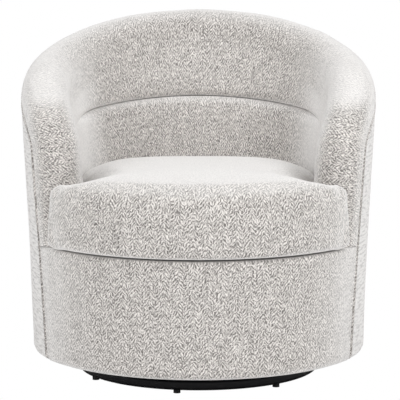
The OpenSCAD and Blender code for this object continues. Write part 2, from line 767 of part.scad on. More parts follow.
// Rocker rails: a web that hangs on the bush, and a flange under the board
flange_w = 38;
flange_t = 3;
web_h = 22;
bolt_r = 3;
bolt_head_r = 6;
bolt_head_t = 4;
bolt_shares = [-0.86, -0.34, 0.34, 0.86];
t_nut_r = 9;
t_nut_t = 2;
bolt_x = rail_x + flange_w / 2;
module at_rail_bolts() {
    for (share = bolt_shares) translate([bolt_x, share * rail_l / 2, 0]) children();
}
module rocker_rail_right() {
    color(black_colour) {
        sideways(rail_x - rail_t / 2) linear_extrude(height = rail_t) difference() {
            union() {
                translate([-rail_l / 2, board_z - web_h]) square([rail_l, web_h]);
                polygon([[-rail_l / 4, board_z - web_h / 2], [rail_l / 4, board_z - web_h / 2],
                    [lug_r, pivot_z], [-lug_r, pivot_z]]);
                translate([0, pivot_z]) circle(r = lug_r);
            }
            translate([0, pivot_z]) circle(r = bush_r + fit_gap);
        }
        difference() {
            translate([rail_x, -rail_l / 2, board_z - flange_t]) cube([flange_w, rail_l, flange_t]);
            at_rail_bolts() translate([0, 0, board_z - flange_t]) hole(bolt_r, flange_t);
        }
    }
}
module rocker_rail_left() {
    mirror([1, 0, 0]) rocker_rail_right();
}
module rail_bolts() {
    color(steel_colour) both_sides() at_rail_bolts() {
        translate([0, 0, board_z - flange_t - bolt_head_t])
            cylinder(r = bolt_head_r, h = bolt_head_t, $fn = 6);
        translate([0, 0, board_z - flange_t - bolt_head_t / 2])
            cylinder(r = bolt_r, h = hoop_t + flange_t + (bolt_head_t + t_nut_t) / 2);
        translate([0, 0, board_z + hoop_t]) cylinder(r = t_nut_r, h = t_nut_t);
    }
}
board_hole_r = 60;
module mechanism_board() {
    color(wood_colour) difference() {
        full_ring(board_hole_r, hoop_out(board_z), board_z, hoop_t);
        both_sides() at_rail_bolts() translate([0, 0, board_z]) hole(bolt_r, hoop_t);
    }
}
dust_t = 0.8;
dust_in = norm([rail_x + flange_w, rail_l / 2]) + dust_gap;
module dust_cover() {
    color(felt_colour) full_ring(dust_in, hoop_in(board_z), board_z - dust_t, dust_t);
}

// Coil springs between their cups, and the rubber stops that end the rocking
cup_t = 2;
cup_rim = 2;
cup_boss_h = 6;
cup_boss_gap = 2;
stop_r = 12;
stop_y = 92;
stop_gap = 0.5;
coil_low = cradle_top + cup_t;
coil_high = board_z - cup_t;
coil_mid_r = spring_r - spring_wire / 2;
coil_rings = 8;
coil_sides = 6;
module at_springs() {
    for (x = [-1, 1]) for (y = [-1, 1]) translate([x * spring_x, y * spring_y, 0]) children();
}
module spring_cup(z, boss_z) {
    at_springs() {
        translate([0, 0, z]) cylinder(r = spring_r + cup_rim, h = cup_t);
        translate([0, 0, boss_z]) cylinder(r = coil_mid_r - spring_wire / 2 - cup_boss_gap, h = cup_boss_h);
    }
}
module lower_spring_cups() {
    color(steel_colour) spring_cup(cradle_top, cradle_top + cup_t / 2);
}
module upper_spring_cups() {
    color(steel_colour) spring_cup(board_z - cup_t, board_z - cup_t / 2 - cup_boss_h);
}
coil_count = spring_curls * coil_rings;
coil_rise = coil_high - coil_low - 2 * soft_gap - spring_wire;
coil_pts = [
    for (i = [0 : coil_count]) let (a = 360 * i / coil_rings)
        [coil_mid_r * cos(a), coil_mid_r * sin(a),
         coil_low + soft_gap + spring_wire / 2 + coil_rise * i / coil_count]
];
coil_start = coil_pts[0] - [0, spring_wire, 0];
coil_stop = coil_pts[coil_count] + [0, spring_wire, 0];
coil_path = concat([coil_start], coil_pts, [coil_stop]);
function tube_ring(path, i, r, sides) =
    let (last = len(path) - 1,
         t = unit(path[min(last, i + 1)] - path[max(0, i - 1)]),
         out = unit(cross(t, [0, 0, 1])), up = cross(out, t))
    [for (k = [0 : sides - 1]) path[i] + r * (out * cos(360 * k / sides) + up * sin(360 * k / sides))];
module coil_springs() {
    rings = [for (i = [0 : len(coil_path) - 1]) tube_ring(coil_path, i, spring_wire / 2, coil_sides)];
    color(steel_colour) at_springs() loft(rings);
}
echo(coil_least_gap = min([
    for (i = [0 : coil_count]) for (j = [i + coil_rings - 1 : 1 : coil_count])
        norm(coil_pts[i] - coil_pts[j]) - spring_wire]));
stop_top = pivot_z + (board_z - pivot_z) * cos(rock_angle) - (stop_y + stop_r) * sin(rock_angle) - stop_gap;
module rock_stops() {
    color(rubber_colour) for (side = [-1, 1]) translate([0, side * stop_y, cradle_top])
        cylinder(r = stop_r, h = stop_top - cradle_top);
}

base_ring();
foot_pads();
foot_studs();
base_crossbars();
crossbar_rivets();
lower_bearing_plate();
plate_rivets();
ball_cage();
bearing_balls();
king_bolt();
king_washer();
king_nut();
upper_bearing_plate();
rocker_cradle();
cradle_rivets();
pivot_pins();
pin_clips();
lower_spring_cups();
coil_springs();
rock_stops();
rocker_rail_left();
rocker_rail_right();
pivot_bushes();
upper_spring_cups();
rail_bolts();
mechanism_board();
dust_cover();
bottom_hoop();
lower_posts();
middle_posts();
seat_hoop();
upper_posts();
arm_hoop();
back_posts();
back_rail();
seat_springs();
spring_clips();
seat_deck();
back_webbing();
front_apron();
outer_wrap();
arm_roll_left();
arm_roll_right();
back_roll();
inner_arm_left();
inner_arm_right();
inner_back();
lumbar_pad();
seat_cushion();
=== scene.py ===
import json
import math
import bpy
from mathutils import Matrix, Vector, kdtree, noise


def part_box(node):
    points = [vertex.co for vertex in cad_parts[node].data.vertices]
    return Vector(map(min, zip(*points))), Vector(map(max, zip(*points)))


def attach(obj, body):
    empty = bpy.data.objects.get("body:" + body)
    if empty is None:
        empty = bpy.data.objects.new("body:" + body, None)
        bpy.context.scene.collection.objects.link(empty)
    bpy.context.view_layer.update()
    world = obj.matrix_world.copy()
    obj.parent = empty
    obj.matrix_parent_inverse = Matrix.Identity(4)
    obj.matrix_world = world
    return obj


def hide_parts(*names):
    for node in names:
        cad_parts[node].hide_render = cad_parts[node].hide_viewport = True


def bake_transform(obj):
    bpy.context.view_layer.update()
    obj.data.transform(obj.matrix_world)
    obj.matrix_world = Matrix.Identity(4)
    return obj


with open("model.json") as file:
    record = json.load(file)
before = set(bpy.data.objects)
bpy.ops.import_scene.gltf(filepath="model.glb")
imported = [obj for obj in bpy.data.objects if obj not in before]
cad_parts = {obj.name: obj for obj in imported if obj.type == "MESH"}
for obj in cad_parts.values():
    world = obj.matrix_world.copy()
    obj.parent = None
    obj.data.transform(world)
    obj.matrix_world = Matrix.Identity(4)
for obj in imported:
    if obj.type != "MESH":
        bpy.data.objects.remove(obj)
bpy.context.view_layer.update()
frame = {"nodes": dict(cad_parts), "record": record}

# Driving sizes of the chair, in metres and degrees, as the solids have them
MM = 0.001
BARREL_R = 386 * MM
SKIRT_R = 365 * MM
WIDEST_Z = 581 * MM
SKIRT_Z = 49 * MM
SKIRT_ROUND = 16 * MM
BACK_H = 778 * MM
NOSE_Z = 545 * MM
NOSE_ANGLE = 121.5
NOSE_ANGLE_LOW = 127.5
WALL_HALF = 52 * MM
ROLL_D = 60 * MM
CHANNEL_Z = 584 * MM
CHANNEL_DROP = 42 * MM
CHANNEL_CURL = 15 * MM
ARM_EXTRA = 8 * MM
UPPER_EXTRA = 44 * MM
LUMBAR_TOP_EXTRA = 52 * MM
LUMBAR_LOW_EXTRA = 86 * MM
CUSHION_Z = 301 * MM
TAPER = 1.3
PAD_END_SHARE = 0.70
SHEET_HALF = (BARREL_R - WALL_HALF) * math.radians(NOSE_ANGLE)
PAD_END = SHEET_HALF * PAD_END_SHARE
SHEET_FRONT = SHEET_HALF - ROLL_D
CREST_SHARES = [
    (1, -0.40), (1, -0.18), (0.986, 0), (0.93, 0.223), (0.82, 0.451), (0.738, 0.562),
    (0.59, 0.691), (0.426, 0.828), (0.262, 0.931), (0.131, 0.983), (0, 1)]


def clamp(v, low=0.0, high=1.0):
    return max(low, min(high, v))


def smooth(t):
    """A soft step from 0 to 1."""
    t = clamp(t)
    return t * t * (3 - 2 * t)


def between(a, b, t):
    return a + (b - a) * t


def barrel_at(z):
    """Outside radius of the barrel at a height."""
    e = clamp(z - SKIRT_Z, 0, SKIRT_ROUND)
    cut = SKIRT_ROUND - math.sqrt(max(0, SKIRT_ROUND ** 2 - (SKIRT_ROUND - e) ** 2))
    t = clamp((z - SKIRT_Z) / (WIDEST_Z - SKIRT_Z))
    return SKIRT_R + (BARREL_R - SKIRT_R) * t ** TAPER - cut


def nose_at(z):
    """Angle from the back to the arm's front at a height."""
    return between(NOSE_ANGLE, NOSE_ANGLE_LOW, clamp((NOSE_Z - z) / (NOSE_Z - SKIRT_Z)))


def wall_point(s, z, n):
    """A place in the wall: s along the sheet, z up, n outwards from the wall's middle."""
    a = math.radians(s / SHEET_HALF * nose_at(z))
    r = barrel_at(z) - WALL_HALF + n
    return Vector((r * math.sin(a), r * math.cos(a), z))


def curve_at(a, b, c, d, t):
    """A place between b and c on the curve through four points."""
    return 0.5 * (2 * b + (c - a) * t + (2 * a - 5 * b + 4 * c - d) * t * t
                  + (3 * b - a - 3 * c + d) * t ** 3)


def smooth_curve(pts, steps):
    last = len(pts) - 1
    out = []
    for i in range(last):
        four = [pts[max(0, i - 1)], pts[i], pts[i + 1], pts[min(last, i + 2)]]
        out += [curve_at(*four, j / steps) for j in range(steps)]
    return out + [pts[last]]


def even_steps(pts, count):
    """The same line with evenly spaced points."""
    run = [0.0]
    for a, b in zip(pts, pts[1:]):
        run.append(run[-1] + (b - a).length)
    out = []
    k = 0
    for i in range(count + 1):
        want = run[-1] * i / count
        while k < len(run) - 2 and run[k + 1] < want:
            k += 1
        t = (want - run[k]) / max(1e-9, run[k + 1] - run[k])
        out.append(pts[k].lerp(pts[k + 1], clamp(t)))
    return out


def back_share(s):
    """1 at the middle of the back, 0 at the ends of its padding."""
    return 1 - smooth(abs(s) / PAD_END)


def channel_at(s):
    t = min(1.0, abs(s) / PAD_END)
    return CHANNEL_Z - CHANNEL_DROP * t ** 1.8 - CHANNEL_CURL * t ** 12


# Crest of the rolled edge on the unrolled wall, with the direction into the wall
RIM_STEPS = 340
rim_half = smooth_curve(
    [Vector((SHEET_HALF, CUSHION_Z))]
    + [Vector((p * SHEET_HALF, NOSE_Z + q * (BACK_H - NOSE_Z))) for p, q in CREST_SHARES], 12)
rim = even_steps(rim_half + [Vector((-p.x, p.y)) for p in reversed(rim_half[:-1])], RIM_STEPS)


def rim_in(i):
    if i == 0:
        return Vector((-1, 0))
    if i == RIM_STEPS:
        return Vector((1, 0))
    t = (rim[i + 1] - rim[i - 1]).normalized()
    return Vector((-t.y, t.x))


rim_dirs = [rim_in(i) for i in range(RIM_STEPS + 1)]
rim_edge = [p + d * ROLL_D for p, d in zip(rim, rim_dirs)]
edge_table = sorted((p.x, p.y) for p in rim_edge[:RIM_STEPS // 2 + 1] if p.y > NOSE_Z - ROLL_D)


def edge_z(s):
    """Height of the rolled edge's lower line, where the inner padding starts."""
    s = abs(s)
    if s >= edge_table[-1][0]:
        return edge_table[-1][1]
    for (a, za), (b, zb) in zip(edge_table, edge_table[1:]):
        if s <= b:
            return between(za, zb, clamp((s - a) / max(1e-9, b - a)))
    return edge_table[-1][1]


# The channel's lips, and the padding that comes on top of the wall's inner face
LIP = 24 * MM
LIP_STEEP = 2.2
LIP_SHARE = 5
ARM_BULGE_REACH = 2.4 * WALL_HALF


def lip(e):
    """How far the padding sinks beside the channel, at a distance from it."""
    c = clamp(1 - e / LIP)
    return LIP * (1 - math.sqrt(1 - c ** LIP_STEEP)) if c < 1 else LIP


def arm_bulge(s, z):
    far = min(edge_z(s) - z, SHEET_FRONT - abs(s))
    return ARM_EXTRA * smooth(far / ARM_BULGE_REACH)


def upper_n(s, z):
    """Place across the wall of the padding above the channel."""
    low = channel_at(s)
    t = clamp((edge_z(s) - z) / (edge_z(s) - low), 0, 1.2)
    g = back_share(s)
    return (-WALL_HALF - arm_bulge(s, z) - (UPPER_EXTRA - ARM_EXTRA) * g * t
            + lip(max(0, z - low)) * min(1, LIP_SHARE * g))


def lumbar_n(s, z):
    """Place across the wall of the padding below the channel."""
    top = channel_at(s)
    t = clamp((top - z) / (top - CUSHION_Z))
    g = back_share(s)
    extra = LUMBAR_TOP_EXTRA - ARM_EXTRA + (LUMBAR_LOW_EXTRA - LUMBAR_TOP_EXTRA) * min(1, 2 * t)
    return -WALL_HALF - arm_bulge(s, z) - extra * g + lip(max(0, top - z)) * min(1, LIP_SHARE * g)


# Lumps of the padding under each cover: how wide they are, how high, and where in the noise they start
ROLL_LUMPS = [(90 * MM, 1.6 * MM, 3.1), (30 * MM, 0.5 * MM, 7.7)]
INNER_LUMPS = [(110 * MM, 1.8 * MM, 5.3), (35 * MM, 0.5 * MM, 9.9)]
LUMBAR_LUMPS = [(100 * MM, 1.8 * MM, 12.4), (35 * MM, 0.5 * MM, 2.2)]
WRAP_LUMPS = [(140 * MM, 1.5 * MM, 21.0)]
APRON_LUMPS = [(120 * MM, 1.5 * MM, 31.0)]
# Distance from a seam over which the lumps set in
LUMP_FADE = 20 * MM


def lump_at(x, y, lumps):
    """Height of the padding's smooth lumps at a place on the cloth."""
    high = 0
    for wide, rise, seed in lumps:
        high += rise * noise.noise(Vector((x / wide + seed, y / wide - seed, seed * 1.7)))
    return high


# Where the inner arm bends into the back the cloth gets a painted highlight: shares of the sheet's half
# length
BEND_HIGHLIGHT_FROM = 0.40
BEND_HIGHLIGHT_FULL = 0.60
BEND_HIGHLIGHT_TO = 0.74
BEND_HIGHLIGHT_END = 0.86
BEND_HIGHLIGHT_BLEND = 50 * MM


def bend_highlight_at(s):
    """How strong the painted highlight is at a place along the sheet."""
    share = abs(s) / SHEET_HALF
    rise = smooth((share - BEND_HIGHLIGHT_FROM) / (BEND_HIGHLIGHT_FULL - BEND_HIGHLIGHT_FROM))
    return rise * smooth((BEND_HIGHLIGHT_END - share) / (BEND_HIGHLIGHT_END - BEND_HIGHLIGHT_TO))


# Painted highlight over the arms' tops, for the light from above
ARM_TOP_HIGHLIGHT = 0.85
ARM_TOP_FROM = 0.52
ARM_TOP_FULL = 0.74
ARM_TOP_LOW = 575 * MM
ARM_TOP_FADE = 45 * MM
ARM_TOP_BLEND = 60 * MM


def arm_top_highlight(q):
    """The same painted highlight over the arms' tops, for the light from above, down to where their fronts
    turn steep.
    """
    share = smooth((abs(q.x) / SHEET_HALF - ARM_TOP_FROM) / (ARM_TOP_FULL - ARM_TOP_FROM))
    return ARM_TOP_HIGHLIGHT * share * smooth((q.y - ARM_TOP_LOW) / ARM_TOP_FADE)


def mark_painted_light(obj, values):
    """Store how strong the painted highlight is at each vertex, for the tweed to read."""
    layer = obj.data.attributes.new(name="painted_light", type="FLOAT", domain="POINT")
    layer.data.foreach_set("value", values)
    return obj


def add_mesh(name, verts, faces, places=None):
    """A mesh object with smooth faces; places gives each vertex's place on the cloth in metres."""
    mesh = bpy.data.meshes.new(name)
    mesh.from_pydata([tuple(v) for v in verts], [], faces)
    mesh.update()
    if places:
        layer = mesh.attributes.new(name="cloth", type="FLOAT_VECTOR", domain="POINT")
        for value, place in zip(layer.data, places):
            value.vector = (place[0], place[1], 0)
    for poly in mesh.polygons:
        poly.use_smooth = True
    obj = bpy.data.objects.new(name, mesh)
    bpy.context.scene.collection.objects.link(obj)
    return obj


def grid_faces(columns, rows, flip=False, closed=False):
    """Quads of a grid whose vertices were made column by column."""
    faces = []
    for i in range(columns if closed else columns - 1):
        for j in range(rows - 1):
            a, b = i * rows + j, (i + 1) % columns * rows + j
            quad = (a, b, b + 1, a + 1)
            faces.append(tuple(reversed(quad)) if flip else quad)
    return faces


# Seams between the covers: a groove, and the low ridge of the allowance under the cloth beside it
SEAM_W = 2.8 * MM
SEAM_D = 4.0 * MM
RIDGE_AT = 8 * MM
RIDGE_H = 1.1 * MM


def seam_dip(e):
    """How far cloth sinks beside a seam at a distance from it, with the low ridge past it."""
    groove = SEAM_D * math.exp(-(e / SEAM_W) ** 2)
    return groove - RIDGE_H * math.exp(-((e - RIDGE_AT) / (RIDGE_AT / 2)) ** 2)


# Distances from a seam at which a cover has its first rows
NEAR_SEAM = [0, 1 * MM, 2 * MM, 3 * MM, 4.2 * MM, 5.6 * MM, 7.5 * MM, 10 * MM, 13 * MM]


def rows_from_seam(length, pitch):
    """Distances from a seam up to length: close together at first, then evenly spaced."""
    rest = max(2, round((length - NEAR_SEAM[-1]) / pitch))
    return NEAR_SEAM + [between(NEAR_SEAM[-1], length, (k + 1) / rest) for k in range(rest)]


# Shallow folds in the tub's cover: points along the crest and across from the outside seam, in mm,
# then how deep and how wide
FOLDS = [
    ([(1542, 84), (1532, 100), (1530, 118), (1545, 138), (1566, 150)], 1.4, 4.5),
    ([(1590, 70), (1586, 86), (1592, 102), (1612, 124)], 1.3, 4.5),
    ([(1640, 70), (1640, 84), (1650, 100)], 1.1, 4.5),
    ([(1500, 150), (1520, 176), (1552, 196), (1590, 206)], 1.4, 7),
    ([(262, 112), (285, 160), (322, 222), (372, 290), (408, 333)], 2.2, 8),
    ([(520, 150), (496, 176), (462, 196), (424, 206)], 1.3, 7),
    ([(1470, 268), (1518, 265), (1566, 256), (1612, 243), (1660, 228)], 3.4, 6.5),
]
FOLD_END = 0.04


def fold_dip(along, run):
    """How far the folds sink the cloth at a place."""
    here = Vector((along, run))
    dip = 0
    for line, deep, wide in FOLDS:
        wide *= MM
        low = min(a for a, b in line) * MM - 3 * wide
        high = max(a for a, b in line) * MM + 3 * wide
        if not low < along < high:
            # the fold is too far off to count here
            continue
        best, where = 1, 0
        for k, (a, b) in enumerate(zip(line, line[1:])):
            a, b = Vector(a) * MM, Vector(b) * MM
            t = clamp((here - a).dot(b - a) / (b - a).length_squared)
            far = (here - a - (b - a) * t).length
            if far < best:
                best, where = far, (k + t) / (len(line) - 1)
        taper = math.sin(math.pi * clamp(where, FOLD_END, 1 - FOLD_END))
        dip += deep * MM * taper * math.exp(-(best / wide) ** 2)
    return dip


# Rolled edge, inner arms and upper back: one cover from the outside seam to the channel
INNER_STEPS = 46
INNER_CROWDING = 1.5
INNER_EDGE_FADE = 8
ROLL_PITCH = 5 * MM
ROLL_SEAM_FADE = 12 * MM
ROLL_STRAIGHT = ROLL_D - WALL_HALF
ROLL_LENGTH = 2 * ROLL_STRAIGHT + math.pi * WALL_HALF
FOOT_STEPS = 400
FOOT_CORNER = 0.62
half_steps = RIM_STEPS // 2
foot_corner = Vector((PAD_END, CUSHION_Z))
foot_front = even_steps([Vector((SHEET_FRONT, CUSHION_Z)), foot_corner], FOOT_STEPS)
foot_side = even_steps([foot_corner, Vector((PAD_END, channel_at(PAD_END)))], FOOT_STEPS)


def build_foot():
    """Pair each crest station with a point of the lower line: along the cushion, up the pad's end, then
    along the channel."""
    over_back = [i for i in range(half_steps + 1) if abs(rim_edge[i].x) <= PAD_END]
    first = over_back[0]
    turn = int(first * FOOT_CORNER)
    out = []
    for i in range(half_steps + 1):
        if i >= first:
            s = rim_edge[i].x
            out.append(Vector((s, channel_at(s))))
        elif i < turn:
            out.append(foot_front[int(FOOT_STEPS * i / turn)].copy())
        else:
            out.append(foot_side[int(FOOT_STEPS * (i - turn) / (first - turn))].copy())
    return out


foot_half = build_foot()
foot_pts = foot_half + [Vector((-p.x, p.y)) for p in reversed(foot_half[:-1])]


def roll_section(run):
    """Depth from the crest and place across the wall, after a run from the outside seam."""
    if run < ROLL_STRAIGHT:
        return ROLL_D - run, WALL_HALF
    if run > ROLL_LENGTH - ROLL_STRAIGHT:
        return ROLL_D - (ROLL_LENGTH - run), -WALL_HALF
    f = (run - ROLL_STRAIGHT) / WALL_HALF
    return WALL_HALF * (1 - math.sin(f)), WALL_HALF * math.cos(f)


def tub_cover():
    """Columns run from the outside seam over the roll and down the inner face to the channel."""
    verts, places, highlight_values = [], [], []
    runs = rows_from_seam(ROLL_LENGTH, ROLL_PITCH)
    pitch = (rim[1] - rim[0]).length
    for i in range(RIM_STEPS + 1):
        p, d, foot, edge = rim[i], rim_dirs[i], foot_pts[i], rim_edge[i]
        middle = wall_point(*(p + d * WALL_HALF), 0)
        along = pitch * i
        for run in runs:
            depth, n = roll_section(run)
            q = p + d * depth
            lump = lump_at(along, run, ROLL_LUMPS) * clamp(run / ROLL_SEAM_FADE)
            lump -= fold_dip(along, run)
            outward = wall_point(q.x, q.y, n)
            verts.append(outward + (outward - middle).normalized() * (lump - seam_dip(run)))
            places.append((along, run))
            # painted highlight on the arm tops
            highlight_values.append(arm_top_highlight(q) * smooth(run / ARM_TOP_BLEND))
        for j in range(1, INNER_STEPS + 1):
            # rows lie closer together towards the channel, whose lip is steep
            t = 1 - (1 - j / INNER_STEPS) ** INNER_CROWDING
            q = edge.lerp(foot, t)
            past = (q - edge).length
            run = ROLL_LENGTH + past
            lump = lump_at(q.x, q.y, INNER_LUMPS) - fold_dip(along, run)
            lump *= clamp(INNER_EDGE_FADE * (1 - t))
            verts.append(wall_point(q.x, q.y, upper_n(q.x, q.y) - lump))
            places.append((along, run))
            # painted highlight where the arm bends into the back, and on the arm tops
            bend_highlight = bend_highlight_at(q.x) * smooth(past / BEND_HIGHLIGHT_BLEND)
            highlight_values.append(max(bend_highlight, arm_top_highlight(q) * (1 - smooth(past / ARM_TOP_BLEND))))
    rows = len(runs) + INNER_STEPS
    return mark_painted_light(add_mesh("tub_cover", verts, grid_faces(RIM_STEPS + 1, rows), places), highlight_values)


LUMBAR_COLUMNS = 200
LUMBAR_ROWS = 56
LUMBAR_CROWDING = 0.6


def lumbar_cover():
    """The band below the channel, down to the cushion."""
    verts, places, highlight_values = [], [], []
    for i in range(LUMBAR_COLUMNS + 1):
        s = PAD_END * (1 - 2 * i / LUMBAR_COLUMNS)
        top = channel_at(s)
        for j in range(LUMBAR_ROWS + 1):
            t = j / LUMBAR_ROWS
            # rows lie closer together towards the channel here too
            z = between(top, CUSHION_Z, t * t * (1 + LUMBAR_CROWDING * (1 - t)))
            fade = clamp(INNER_EDGE_FADE * min(t, 1 - abs(s) / PAD_END))
            verts.append(wall_point(s, z, lumbar_n(s, z) - lump_at(s, z, LUMBAR_LUMPS) * fade))
            places.append((-s, z))
            # painted highlight at the lumbar's ends
            highlight_values.append(bend_highlight_at(s))
    faces = grid_faces(LUMBAR_COLUMNS + 1, LUMBAR_ROWS + 1)
    return mark_painted_light(add_mesh("lumbar_cover", verts, faces, places), highlight_values)


# Outside cover round the back, from seam to seam, turned in under the skirt
HEM = [(1 * MM, -10 * MM), (4 * MM, -20 * MM), (7 * MM, -34 * MM)]
SKIRT_LUMP_FROM = 30 * MM
WRAP_PITCH = 9 * MM
WRAP_ROWS = 80


def outer_cover():
    verts, places = [], []
    sides = rows_from_seam(SHEET_FRONT, WRAP_PITCH)
    stops = [SHEET_FRONT - e for e in sides] + [e - SHEET_FRONT for e in reversed(sides[:-1])]
    for s in stops:
        top = edge_z(s)
        drop = top - SKIRT_Z
        deeps = NEAR_SEAM + [between(NEAR_SEAM[-1], drop, k / WRAP_ROWS) for k in range(1, WRAP_ROWS + 1)]
        rows = [(top - e, 0.0, e) for e in deeps]
        rows += [(SKIRT_Z + up, inward, drop) for up, inward in HEM]
        for z, inward, deep in rows:
            dip = seam_dip(min(SHEET_FRONT - abs(s), deep))
            lump = lump_at(s, z, WRAP_LUMPS) * clamp((z - SKIRT_Z) / SKIRT_LUMP_FROM)
            lump *= clamp(deep / LUMP_FADE)
            verts.append(wall_point(s, z, WALL_HALF + inward - dip + lump))
            places.append((-s, z + inward))
    return add_mesh("outer_cover", verts, grid_faces(len(stops), len(rows)), places)


# Apron under the seat cushion: its upper edge turns in over the seat hoop
APRON_TURN = 6 * MM
APRON_TURN_ANGLES = (90, 67, 45, 22, 0)
APRON_TUCK = 60 * MM
APRON_TOP = CUSHION_Z - 0.3 * MM
APRON_ROWS = 64


def apron_cover():
    verts, places = [], []
    front_len = barrel_at(CUSHION_Z) * math.radians(360 - 2 * SHEET_FRONT / SHEET_HALF * nose_at(CUSHION_Z))
    shares = [e / front_len for e in rows_from_seam(front_len / 2, WRAP_PITCH)]
    shares += [1 - u for u in reversed(shares[:-1])]
    rows = [(APRON_TOP, inward) for inward in (-APRON_TUCK, -APRON_TUCK / 2, -2 * APRON_TURN)]
    for f in APRON_TURN_ANGLES:
        f = math.radians(f)
        rows.append((APRON_TOP - APRON_TURN * (1 - math.sin(f)), -APRON_TURN * (1 - math.cos(f))))
    low = APRON_TOP - APRON_TURN
    rows += [(between(low, SKIRT_Z, k / APRON_ROWS), 0.0) for k in range(1, APRON_ROWS + 1)]
    rows += [(SKIRT_Z + up, inward) for up, inward in HEM]
    for u in shares:
        for z, inward in rows:
            a = SHEET_FRONT / SHEET_HALF * nose_at(z)
            b = math.radians(a + (360 - 2 * a) * u)
            r = barrel_at(z)
            side = min(u, 1 - u) * math.radians(360 - 2 * a) * r
            lump = lump_at(b, z, APRON_LUMPS) * clamp((z - SKIRT_Z) / SKIRT_LUMP_FROM)
            lump *= clamp(side / LUMP_FADE) * clamp((low - z) / LUMP_FADE)
            n = inward - seam_dip(side) * clamp(1 + inward / APRON_TURN) + lump
            verts.append(Vector(((r + n) * math.sin(b), (r + n) * math.cos(b), z)))
            places.append(((math.pi - b) * r, z + inward))
    return add_mesh("apron_cover", verts, grid_faces(len(shares), len(rows), flip=True), places)


# Seat cushion: a boxed form with an ear in front of each arm, crowned and then swelled by cloth pressure
CUSHION_EDGE_Z = 440 * MM
CUSHION_CROWN_Z = 472 * MM
CUSHION_MID_W = 262 * MM
CUSHION_FRONT_W = 321 * MM
CUSHION_REAR_Y = 178 * MM
CUSHION_ROUND = 22 * MM
CUSHION_LOW_ROUND = 9 * MM
CUSHION_FULLNESS = 2 * MM
CUSHION_POINTS = 220
UNDERSIDE_RISE = 4.5 * MM
UNDERSIDE_IN = 35 * MM
EAR_GAP = 12 * MM
# Directions in degrees: round the arm's end, and round the barrel from the middle of its front
EAR_TURNS = (156, 186, 216, 246, 276)
FRONT_TURNS = (51, 45, 37, 29, 20, 10, 0)
CUSHION_MID = Vector((0, -2 * WALL_HALF))
REAR_SHARES = [(0, 1), (0.187, 0.999), (0.39, 0.969), (0.605, 0.868), (0.806, 0.667), (0.95, 0.365), (1, 0)]


def arm_end():
    """Middle of the arm's rounded front, in plan, at the foot of the cushion."""
    r = barrel_at(CUSHION_Z) - WALL_HALF
    a = math.radians(nose_at(CUSHION_Z)) - WALL_HALF / r
    return Vector((r * math.sin(a), r * math.cos(a)))


def cushion_outline(count):
    """Plan of the cushion, clockwise from the middle of its rear, as seen from above."""
    end = arm_end()
    half = [Vector((p * CUSHION_MID_W, q * CUSHION_REAR_Y)) for p, q in REAR_SHARES]
    for f in EAR_TURNS:
        f = math.radians(f)
        half.append(end + (WALL_HALF + EAR_GAP) * Vector((math.cos(f), math.sin(f))))
    half.append(Vector((CUSHION_FRONT_W, end.y - WALL_HALF - EAR_GAP - CUSHION_ROUND / 2)))
    reach = min(BARREL_R, CUSHION_FRONT_W / math.sin(math.radians(FRONT_TURNS[0])))
    for f in FRONT_TURNS:
        f = math.radians(f)
        half.append(Vector((reach * math.sin(f), -BARREL_R * math.cos(f))))
    half = smooth_curve(half, 8)
    whole = half + [Vector((-p.x, p.y)) for p in reversed(half[1:-1])]
    return even_steps(whole + [whole[0]], count)[:-1]


def inset_line(line, amount):
    """The outline moved inwards along its normals, or outwards by a negative amount."""
    out = []
    count = len(line)
    for i, p in enumerate(line):
        t = (line[(i + 1) % count] - line[i - 1]).normalized()
        out.append(p + Vector((-t.y, t.x)) * -amount)
    return out


CUSHION_TURNS = [math.radians(f) for f in (0, 30, 60, 90)]
SIDE_SHARES = (0.325, 0.5, 0.675)
SIDE_PULL = 1 * MM
CAP_SHARES = (0.9, 0.7, 0.5, 0.3, 0.14)


def cushion_rings():
    """Height, inset and scale of each ring of the boxed cushion, from its underside to its flat cap."""
    under, high = CUSHION_Z + 1 * MM, CUSHION_EDGE_Z - 2 * MM
    low = under + UNDERSIDE_RISE
    rings = [(under, UNDERSIDE_IN, 1.0)]
    for f in CUSHION_TURNS:
        inset = CUSHION_LOW_ROUND * (1 - math.sin(f))
        rings.append((low + CUSHION_LOW_ROUND * (1 - math.cos(f)), inset, 1.0))
    for t in SIDE_SHARES:
        rings.append((between(low, high, t), SIDE_PULL, 1.0))
    for f in CUSHION_TURNS:
        rings.append((high - CUSHION_ROUND * (1 - math.sin(f)), CUSHION_ROUND * (1 - math.cos(f)), 1.0))
    return rings + [(high, CUSHION_ROUND, share) for share in CAP_SHARES]


def cushion_form():
    """Closed mesh of the boxed cushion, before it is crowned and swelled."""
    count = CUSHION_POINTS
    line = inset_line(cushion_outline(count), -CUSHION_FULLNESS)
    rings = cushion_rings()
    verts = []
    for z, inset, scale in rings:
        for p in inset_line(line, inset):
            q = CUSHION_MID + (p - CUSHION_MID) * scale
            verts.append(Vector((q.x, q.y, z)))
    faces = []
    for k in range(len(rings) - 1):
        for i in range(count):
            a, b = k * count + i, k * count + (i + 1) % count
            faces.append((a, b, b + count, a + count))
    top, bottom = len(verts), len(verts) + 1
    verts += [Vector((CUSHION_MID.x, CUSHION_MID.y, rings[k][0])) for k in (-1, 0)]
    last = (len(rings) - 1) * count
    faces += [(last + i, last + (i + 1) % count, top) for i in range(count)]
    faces += [((i + 1) % count, i, bottom) for i in range(count)]
    return add_mesh("seat_cushion_cover", verts, faces)


def apply_modifier(obj, kind, **settings):
    """Add a modifier, give it its settings and apply it at once."""
    made = obj.modifiers.new(kind.lower(), kind)
    for key, value in settings.items():
        setattr(made, key, value)
    settle_modifier(obj, made)


def settle_modifier(obj, modifier):
    for other in bpy.context.selected_objects:
        other.select_set(False)
    obj.select_set(True)
    bpy.context.view_layer.objects.active = obj
    bpy.ops.object.modifier_apply(modifier=modifier.name)


